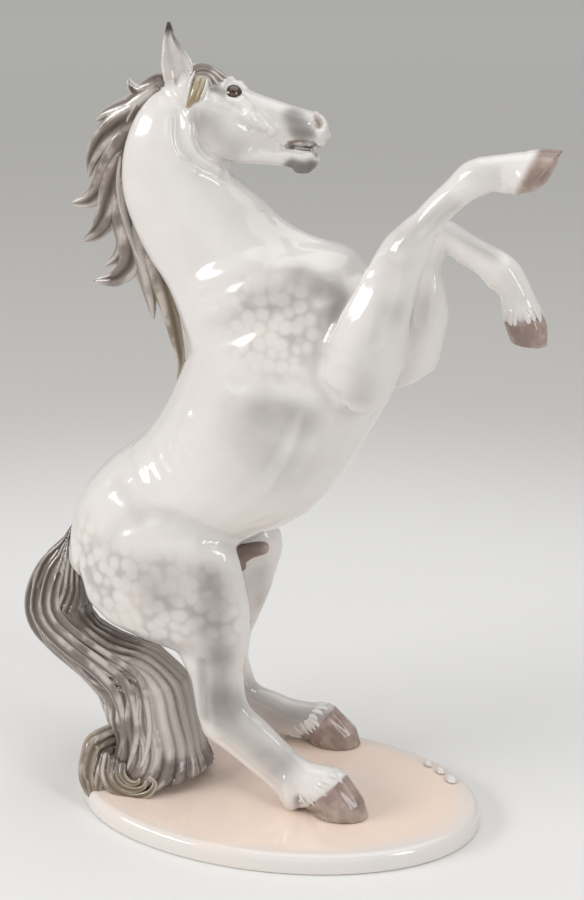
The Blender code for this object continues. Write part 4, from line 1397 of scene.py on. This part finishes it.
class HORSE_OT_tail(bpy.types.Operator):
    """Model the tail's combed fall and the locks at its foot"""

    bl_idname = "horse.tail"
    bl_label = "Tail"

    def execute(self, context):
        look = hair()
        piece = fused("tail_hair", ("tail",), TAIL_GRAIN, sizes().swell)
        clay = modelled(piece, sizes().smoothing)
        comb = Comb(clay, route_of((*pixel, y) for pixel, y in zip(self.line(0.5), TAIL_Y)))
        deep = comb.ridges(TAIL_RIDGES, TAIL_WAVE, TAIL_SEED)
        fine = comb.ridges(TAIL_FINE_RIDGES, TAIL_FINE_WAVE, TAIL_FINE_SEED)
        clay.sink((TAIL_GROOVE * deep + TAIL_FINE_GROOVE * fine - TAIL_PROUD) * MM)
        # The combed grooves' dark mask, partly painted shade
        clay.masks["groove"] = deep * 0.85 + fine * 0.25
        # Pale on the inner side below the middle, and golden at the foot on the outer side
        inner = ramp(np.cos(comb.turn), -0.5, 0.5)
        clay.masks["tip"] = inner * ramp(comb.share, 0.40, 0.62) * (1 - ramp(comb.share, 0.78, 0.92))
        clay.masks["gold"] = ramp(comb.share, 0.83, 0.97) * ramp(-clay.co[:, 0], 50 * MM, 64 * MM)
        clay.write()
        wear(piece, "hair_grey", look, "tail")
        laid = []
        for k, share in enumerate(TAIL_STRANDS):
            points = clay.lay(self.line(share)[:-1])
            width = TAIL_STRAND_WIDTH * (1 - TAIL_STRAND_LOSS * share) * MM
            size = (width, width * TAIL_STRAND_DEPTH)
            laid.append(strand(f"over_{k}", points, *size, 2, FACE_NEAR, start=0.3, blunt=0.4))
        ribbon = route_of(RIBBON)
        laid.append(strand("ribbon", ribbon, RIBBON_WIDTH, RIBBON_DEPTH, 2, FACE_NEAR, start=0.4))
        wear(joined("tail_strands", laid), "hair_grey", look)
        for name, spec in TAIL_LOCKS.items():
            made = []
            for k, (width, depth, *marks) in enumerate(spec):
                size = (width * MM, depth * MM)
                made.append(strand(f"{name}_{k}", route_of(marks), *size, 4, FACE_NEAR, gold=0.75))
            wear(joined(name + "_hair", made), "hair_grey", look, name)
        return {"FINISHED"}

    def line(self, share):
        """Pixels down the tail at a share of the way from its outer edge to its inner one."""
        return [
            tuple(a + (b - a) * share for a, b in zip(outer, inner))
            for outer, inner in zip(TAIL_OUTER, TAIL_INNER)
        ]


# The forelock's strands, laid on the head: pixels, width and depth in millimetres and how golden they
# are. The hanging lock lies on the near cheek, and white rims lie beside it.
FORELOCK = (
    (((190, 75), (196, 70), (205, 69), (215, 72), (227, 79)), 4.8, 3.2, 0.0),
    (((191, 79), (196, 74), (204, 72), (214, 75), (224, 82)), 4.6, 3.4, 0.0),
    (((192, 83), (197, 78), (203, 76), (212, 78), (220, 86)), 4.6, 3.2, 0.4),
    (((194, 86), (198, 81), (203, 79), (209, 81), (214, 89)), 4.2, 3.0, 0.0),
)
HANGING_LOCK = (
    (((205, 72), (203, 83), (200, 93), (196, 103)), 4.6, 3.0, 2.0),
    (((199, 72), (197, 84), (194, 95), (187, 109)), 5.4, 3.4, 2.4),
)
# White strands beside the hanging lock, partly a painted highlight along its edges
HANGING_RIMS = (
    (((196, 72), (191, 82), (189, 94), (187, 106)), 2.0, 3.8, 0.0),
    (((208, 78), (207, 88), (204, 95), (200, 101)), 1.6, 3.0, 0.0),
)
# How far a strand is lifted off the head, as a share of its depth
FORELOCK_LIFT = 0.2


class HORSE_OT_forelock(bpy.types.Operator):
    """Lay the forelock over the poll and hang its lock on the near cheek"""

    bl_idname = "horse.forelock"
    bl_label = "Forelock"

    def execute(self, context):
        look = hair()
        head = surface_of(bpy.data.objects["head_skin"])
        laid = {"forelock": FORELOCK, "forelock_lock": HANGING_LOCK, "forelock_rims": HANGING_RIMS}
        for name, strands in laid.items():
            made = []
            for k, (pixels, width, depth, gold) in enumerate(strands):
                path = []
                facing = Vector()
                for pixel in pixels:
                    point = PHOTO.on(head, pixel)
                    out = head.find_nearest(point)[1]
                    facing += out
                    path.append(point + out * depth * MM * FORELOCK_LIFT)
                made.append(
                    strand(
                        f"{name}_{k}", path, width * MM, depth * MM, 3, facing.normalized(), gold=gold,
                        blunt=0.7,
                    )
                )
            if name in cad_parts:
                wear(joined(name + "_hair", made), "hair_grey", look, name)
            else:
                wear(joined(name, made), "porcelain_white", porcelain())
        return {"FINISHED"}


# The eye's middle on the near side, and how far a ball is set in, as a share of its radius
EYE_PIXEL = (233.5, 92)
EYE_DEPTH = 0.6


class HORSE_OT_eyes(bpy.types.Operator):
    """Set a glazed eye on each side of the head"""

    bl_idname = "horse.eyes"
    bl_label = "Eyes"

    def execute(self, context):
        look = eye_glaze()
        head = Clay(bpy.data.objects["head_skin"])
        head.learn()
        (near,), (far,) = sides(head, [EYE_PIXEL], POLL, HEAD_LEFT)
        for name, place, side in (("right_eye", near, -HEAD_LEFT), ("left_eye", far, HEAD_LEFT)):
            out = (head.tree.find_nearest(place)[1] + side).normalized()
            centre = place - out * sizes().eye * EYE_DEPTH
            deselect()
            bpy.ops.mesh.primitive_uv_sphere_add(
                segments=48, ring_count=32, radius=sizes().eye, location=centre,
            )
            ball = context.object
            ball.name = name
            settle(ball)
            clay = Clay(ball)
            clay.masks["gaze"] = (clay.co - np.array(centre)) @ np.array(out) / sizes().eye
            clay.write()
            wear(ball, "hoof_brown", look)
        return {"FINISHED"}


PUPIL = (0.012, 0.010, 0.009)
IRIS_LIFT = 1.3
# Where the dark rim ends and the pupil begins, on the way from the eye's middle to its front
IRIS_STARTS = (0.79, 0.86)
PUPIL_STARTS = (0.955, 0.972)


def eye_glaze():
    """A dark pupil in a brown iris, dark again at the lids."""
    tones = colours()
    glaze = Glaze("eye_glaze", roughness=0.06, coat=1.0)
    gaze = glaze.mask("gaze")
    rays = glaze.noise(0.7 * MM)
    bright = tuple(IRIS_LIFT * part for part in tones.iris)
    brown = rays.between(0.35, 0.65).tint(tones.iris, bright)
    ring = (1 - gaze.between(*IRIS_STARTS)).tint(brown, PUPIL)
    return glaze.paint(gaze.between(*PUPIL_STARTS).tint(ring, PUPIL))


TEETH = ((294, 147.6), (303, 148.6), (312, 149.4))
TEETH_HEIGHT = 1.1 * MM
TEETH_DEPTH = 1.2 * MM


class HORSE_OT_teeth(bpy.types.Operator):
    """Lay the strip of teeth in the open mouth"""

    bl_idname = "horse.teeth"
    bl_label = "Teeth"

    def execute(self, context):
        head = Clay(bpy.data.objects["head_skin"])
        head.learn()
        rows = [
            strand(f"teeth_{k}", points, TEETH_HEIGHT, TEETH_DEPTH, 1, FACE_NEAR, groove=0.1)
            for k, points in enumerate(sides(head, TEETH, POLL, HEAD_LEFT))
        ]
        wear(joined("teeth", rows), "porcelain_white", porcelain())
        return {"FINISHED"}


# The ears: pixels of their middles from root to tip, the distances to the left of both ends, the
# half width, the way that the open side faces and the marks of a rolled front edge
Ear = namedtuple("Ear", "pixels root_y tip_y half_width facing roll", defaults=((),))
EARS = {
    "right_ear": Ear(
        ((178, 80), (177, 66), (173, 52), (170, 42), (169, 30), (168.5, 22)),
        0, -1, 5.8, (0.30, -0.94, 0.05),
        ((191, 71, -1.6), (189, 64, -2.4), (184, 56, -2.6), (179, 47, -2.6), (174, 38, -2.4),
         (171, 30, -1.8)),
    ),
    "left_ear": Ear(
        ((180, 80), (178, 66), (174, 53), (170, 42), (167, 35)), 15, 16, 4.6, (0.75, 0.60, 0.1),
    ),
}
ROLL_WIDTH = 2.4 * MM
ROLL_DEPTH = 2.0 * MM
# The half width along an ear, as shares of its length and of its widest
EAR_SHARES = (0.0, 0.15, 0.3, 0.5, 0.68, 0.87, 1.0)
EAR_WIDTHS = (0.86, 0.98, 0.98, 0.66, 0.42, 0.18, 0.03)
EAR_AROUND = 40
EAR_ALONG = 48
# The curl to each side at the root in degrees, what it loses by the tip, and the gutter's depth as a
# share of its half width
EAR_CURL = 100
EAR_OPENS = 25
EAR_DEPTH = 0.8
# The leaf's grain as a share of the fine one, and its smoothing
EAR_GRAIN = 0.8
EAR_PASSES = 14
EAR_SHRINK = 0.5
EAR_SWELL = 0.51


class HORSE_OT_ears(bpy.types.Operator):
    """Model the two ears as hollow leaves"""

    bl_idname = "horse.ears"
    bl_label = "Ears"

    def execute(self, context):
        look = ear_glaze()
        for name, spec in EARS.items():
            last = len(spec.pixels) - 1
            route = [
                PHOTO.at_side(pixel, (spec.root_y + (spec.tip_y - spec.root_y) * k / last) * MM)
                for k, pixel in enumerate(spec.pixels)
            ]
            piece = self.leaf(name + "_leaf", route, spec)
            if spec.roll:
                roll = strand(
                    "roll", route_of(spec.roll), ROLL_WIDTH, ROLL_DEPTH, 1, FACE_NEAR, groove=0.0,
                    start=0.5, blunt=0.6,
                )
                piece = joined(name + "_leaf", [roll, piece])
            wear(piece, "porcelain_white", look, name)
        return {"FINISHED"}

    def leaf(self, name, route, spec):
        """A grid curled into a gutter that is widest low down and comes to a point."""
        path = curve_through(route, STRAND_STEPS)
        root = Vector(path[0])
        along = Vector(path[-1]) - root
        facing = Vector(spec.facing)
        facing = (facing - facing.dot(along.normalized()) * along.normalized()).normalized()
        side = along.normalized().cross(facing)
        made = flat_grid(name, EAR_AROUND, EAR_ALONG)
        for vertex in made.data.vertices:
            u, v = vertex.co.x, (vertex.co.y + 1) / 2
            middle = along_path(path, np.array([v]))[0][0]
            wide = spec.half_width * MM * np.interp(v, EAR_SHARES, EAR_WIDTHS)
            curl = u * math.radians(EAR_CURL - EAR_OPENS * v)
            across = math.sin(curl) * wide
            vertex.co = Vector(middle) + side * across - facing * math.cos(curl) * wide * EAR_DEPTH
        finish_with(made, "SOLIDIFY", thickness=sizes().ear_wall, offset=0.0)
        finish_with(made, "REMESH", mode="VOXEL", voxel_size=sizes().fine_grain * EAR_GRAIN)
        clay = Clay(made)
        clay.smooth(EAR_PASSES, EAR_SHRINK, EAR_SWELL)
        clay.learn()
        inward = clay.normals @ np.array(facing)
        height = (clay.co - np.array(root)) @ np.array(along) / along.length_squared
        clay.masks["inside"] = ramp(inward, 0.15, 0.6) * (1 - ramp(height, 0.75, 1.0))
        clay.masks["tip"] = ramp(height, 0.70, 0.90)
        clay.write()
        return made


def ear_glaze():
    """White outside, blush in the cup and dark at the tip."""
    tones = colours()
    glaze = Glaze("ear_glaze", roughness=0.15, coat=0.5)
    cloud = glaze.noise(6 * MM, 2.0)
    inner = (glaze.mask("inside") * 0.55 * cloud.between(0.3, 0.6)).tint(tones.porcelain, tones.blush)
    tipped = glaze.mask("tip").tint(inner, tones.groove)
    return glaze.paint(tipped, 0.12 + cloud * 0.06)


class HORSE_OT_pebbles(bpy.types.Operator):
    """Model the three low pebbles by the plinth's back rim"""

    bl_idname = "horse.pebbles"
    bl_label = "Pebbles"

    def execute(self, context):
        look = porcelain()
        for node in sorted(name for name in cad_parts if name.startswith("plinth_pebble")):
            piece = fused(node + "_glazed", (node,), sizes().fine_grain, sizes().swell)
            modelled(piece, sizes().smoothing // 8)
            wear(piece, "plinth_blush", look, node)
        return {"FINISHED"}


PLINTH_SIDES = 192
FOOT_ROUNDING = 0.8 * MM
FOOT_RIM = 6.0 * MM
FOOT_SLOPE = 1.5 * MM
FOOT_RECESS = 2.3 * MM
TOP_RINGS = 3
TOP_RING = 8.0 * MM


class HORSE_OT_plinth(bpy.types.Operator):
    """Model the oval plinth with its rounded rim and the foot's recess"""

    bl_idname = "horse.plinth"
    bl_label = "Plinth"

    def execute(self, context):
        low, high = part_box("plinth")
        size = high - low
        deselect()
        bpy.ops.mesh.primitive_cylinder_add(
            vertices=PLINTH_SIDES, radius=0.5, depth=1.0, end_fill_type="NGON",
            location=(low + high) / 2, scale=size,
        )
        plinth = context.object
        plinth.name = "plinth_slab"
        settle(plinth)
        bpy.ops.object.mode_set(mode="EDIT")
        self.choose_face(plinth, high.z)
        bpy.ops.mesh.bevel(offset=sizes().rim_rounding, segments=10, affect="EDGES")
        self.choose_face(plinth, low.z)
        bpy.ops.mesh.bevel(offset=FOOT_ROUNDING, segments=3, affect="EDGES")
        self.choose_face(plinth, low.z)
        bpy.ops.mesh.inset(thickness=FOOT_RIM)
        bpy.ops.mesh.inset(thickness=FOOT_SLOPE, depth=-FOOT_RECESS)
        self.choose_face(plinth, high.z)
        for _ in range(TOP_RINGS):
            bpy.ops.mesh.inset(thickness=TOP_RING)
        bpy.ops.object.mode_set(mode="OBJECT")
        wear(plinth, "plinth_blush", plinth_glaze(), "plinth")
        return {"FINISHED"}

    def choose_face(self, plinth, z):
        """Selects the flat face at a height, and nothing else."""
        bpy.ops.mesh.select_all(action="DESELECT")
        clay = bmesh.from_edit_mesh(plinth.data)
        for face in clay.faces:
            if all(abs(v.co.z - z) < 0.01 * MM for v in face.verts) and abs(face.normal.z) > 0.9:
                face.select = True
        clay.select_flush(True)
        bmesh.update_edit_mesh(plinth.data)


def plinth_glaze():
    """Beige pink that fades to white at the rim."""
    tones = colours()
    low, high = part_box("plinth")
    size = high - low
    glaze = Glaze("plinth_glaze", roughness=0.14, coat=0.5)
    centre = glaze.node(
        "ShaderNodeMapping", {"vector_type": "TEXTURE"},
        {
            "Vector": glaze.place, "Location": ((low.x + high.x) / 2, 0, high.z),
            "Scale": (size.x / 2, size.y / 2, size.y / 2),
        },
    )
    reach = glaze.reach(centre)
    cloud = glaze.noise(45 * MM, 3.0)
    inside = 1 - (reach + cloud * 0.2).between(0.94, 1.14)
    body = (inside * (0.55 + cloud * 0.6)).tint(tones.porcelain, tones.plinth)
    wave = glaze.noise(10 * MM, 1.0)
    return glaze.paint(body, 0.06 + cloud * 0.08, wave, 0.11 * MM)


Lamp = namedtuple("Lamp", "name place size power colour")
# The point that all lamps are turned to
AIM = Vector((0, 0, 0.18))
LAMPS = (
    Lamp("left_softbox", (-1.2, -0.78, 0.82), (1.0, 0.42), 12.0, (1.0, 0.99, 0.98)),
    Lamp("top_softbox", (0.2, 0.05, 1.5), (1.6, 1.6), 9.6, (1.0, 1.0, 1.0)),
    Lamp("right_softbox", (1.1, -0.7, 0.7), (0.3, 0.7), 4.0, (0.98, 0.99, 1.0)),
    Lamp("front_fill", (0.35, -1.8, 0.5), (1.8, 1.1), 2.6, (1.0, 1.0, 1.0)),
)
WORLD_COLOUR = (0.97, 0.985, 1.0)
WORLD_STRENGTH = 0.40
FLOOR_SIZE = 14.0
FLOOR_DROP = 0.2 * MM
CLIP_START = 0.01


class HORSE_OT_stage(bpy.types.Operator):
    """Lay the paper floor and set the lamps, the world and the camera"""

    bl_idname = "horse.stage"
    bl_label = "Stage"

    def execute(self, context):
        scene = context.scene
        deselect()
        bpy.ops.mesh.primitive_plane_add(size=FLOOR_SIZE, location=(0, 0, -FLOOR_DROP))
        floor = context.object
        floor.name = "floor"
        floor.data.materials.append(paper())
        for lamp in LAMPS:
            bpy.ops.object.light_add(type="AREA", location=lamp.place)
            light = context.object
            light.name = lamp.name
            light.data.shape = "RECTANGLE"
            light.data.size, light.data.size_y = lamp.size
            light.data.energy = lamp.power
            light.data.color = lamp.colour
            aim = (AIM - light.location).normalized()
            light.rotation_euler = aim.to_track_quat("-Z", "Y").to_euler()
        world = bpy.data.worlds.new("studio")
        world.use_nodes = True
        sky = world.node_tree.nodes["Background"]
        sky.inputs["Color"].default_value = (*WORLD_COLOUR, 1)
        sky.inputs["Strength"].default_value = WORLD_STRENGTH
        scene.world = world
        scene.view_settings.view_transform = "Standard"
        bpy.ops.object.camera_add(location=EYE)
        camera = context.object
        camera.rotation_euler = (TARGET - EYE).to_track_quat("-Z", "Y").to_euler()
        camera.data.sensor_width = SENSOR
        camera.data.lens = LENS
        camera.data.clip_start = CLIP_START
        scene.camera = camera
        return {"FINISHED"}


# Distances in metres over which the paper's painted pool of light turns to painted grey shade, and over
# which it is painted paler again to stand for light far off where the lamps don't reach, and how much
# paler
GREY_STARTS = (0.30, 0.66)
PALE_AGAIN = (0.5, 3.4)
FAR_LIFT = 1.56
PAPER_SHINE = 0.2


def paper():
    """Paper with a painted pool of light round the figure, which turns to painted grey shade away from
    it and paler again far off.
    """
    tones = colours()
    made = Glaze("paper", roughness=0.7, coat=0.0)
    made.shader.inputs["Specular IOR Level"].default_value = PAPER_SHINE
    reach = made.reach(made.place)
    near = reach.between(*GREY_STARTS)
    far = reach.between(*PALE_AGAIN)
    grey = tuple(FAR_LIFT * part for part in tones.far_floor)
    return made.paint(far.tint(near.tint(tones.floor, tones.far_floor), grey))


class HORSE_PT_panel(bpy.types.Panel):
    """The figurine's pieces, sizes and colours"""

    bl_idname = "HORSE_PT_panel"
    bl_label = "Rearing horse"
    bl_space_type = "VIEW_3D"
    bl_region_type = "UI"
    bl_category = "Horse"

    def draw(self, context):
        for group in (sizes(), colours()):
            box = self.layout.box()
            for name in group.__annotations__:
                box.prop(group, name)
        for piece in PIECES:
            self.layout.operator(piece.bl_idname)


PIECES = (
    HORSE_OT_stage,
    HORSE_OT_body,
    HORSE_OT_head,
    HORSE_OT_hooves,
    HORSE_OT_sheath,
    HORSE_OT_eyes,
    HORSE_OT_teeth,
    HORSE_OT_ears,
    HORSE_OT_forelock,
    HORSE_OT_mane,
    HORSE_OT_tail,
    HORSE_OT_plinth,
    HORSE_OT_pebbles,
)
CLASSES = (HorseSizes, HorseColours, *PIECES, HORSE_PT_panel)


def register():
    for made in CLASSES:
        bpy.utils.register_class(made)
    bpy.types.Scene.horse_sizes = PointerProperty(type=HorseSizes)
    bpy.types.Scene.horse_colours = PointerProperty(type=HorseColours)


def unregister():
    del bpy.types.Scene.horse_colours
    del bpy.types.Scene.horse_sizes
    for made in reversed(CLASSES):
        bpy.utils.unregister_class(made)


def main():
    register()
    for piece in PIECES:
        category, name = piece.bl_idname.split(".")
        getattr(getattr(bpy.ops, category), name)()


if __name__ == "__main__":
    main()
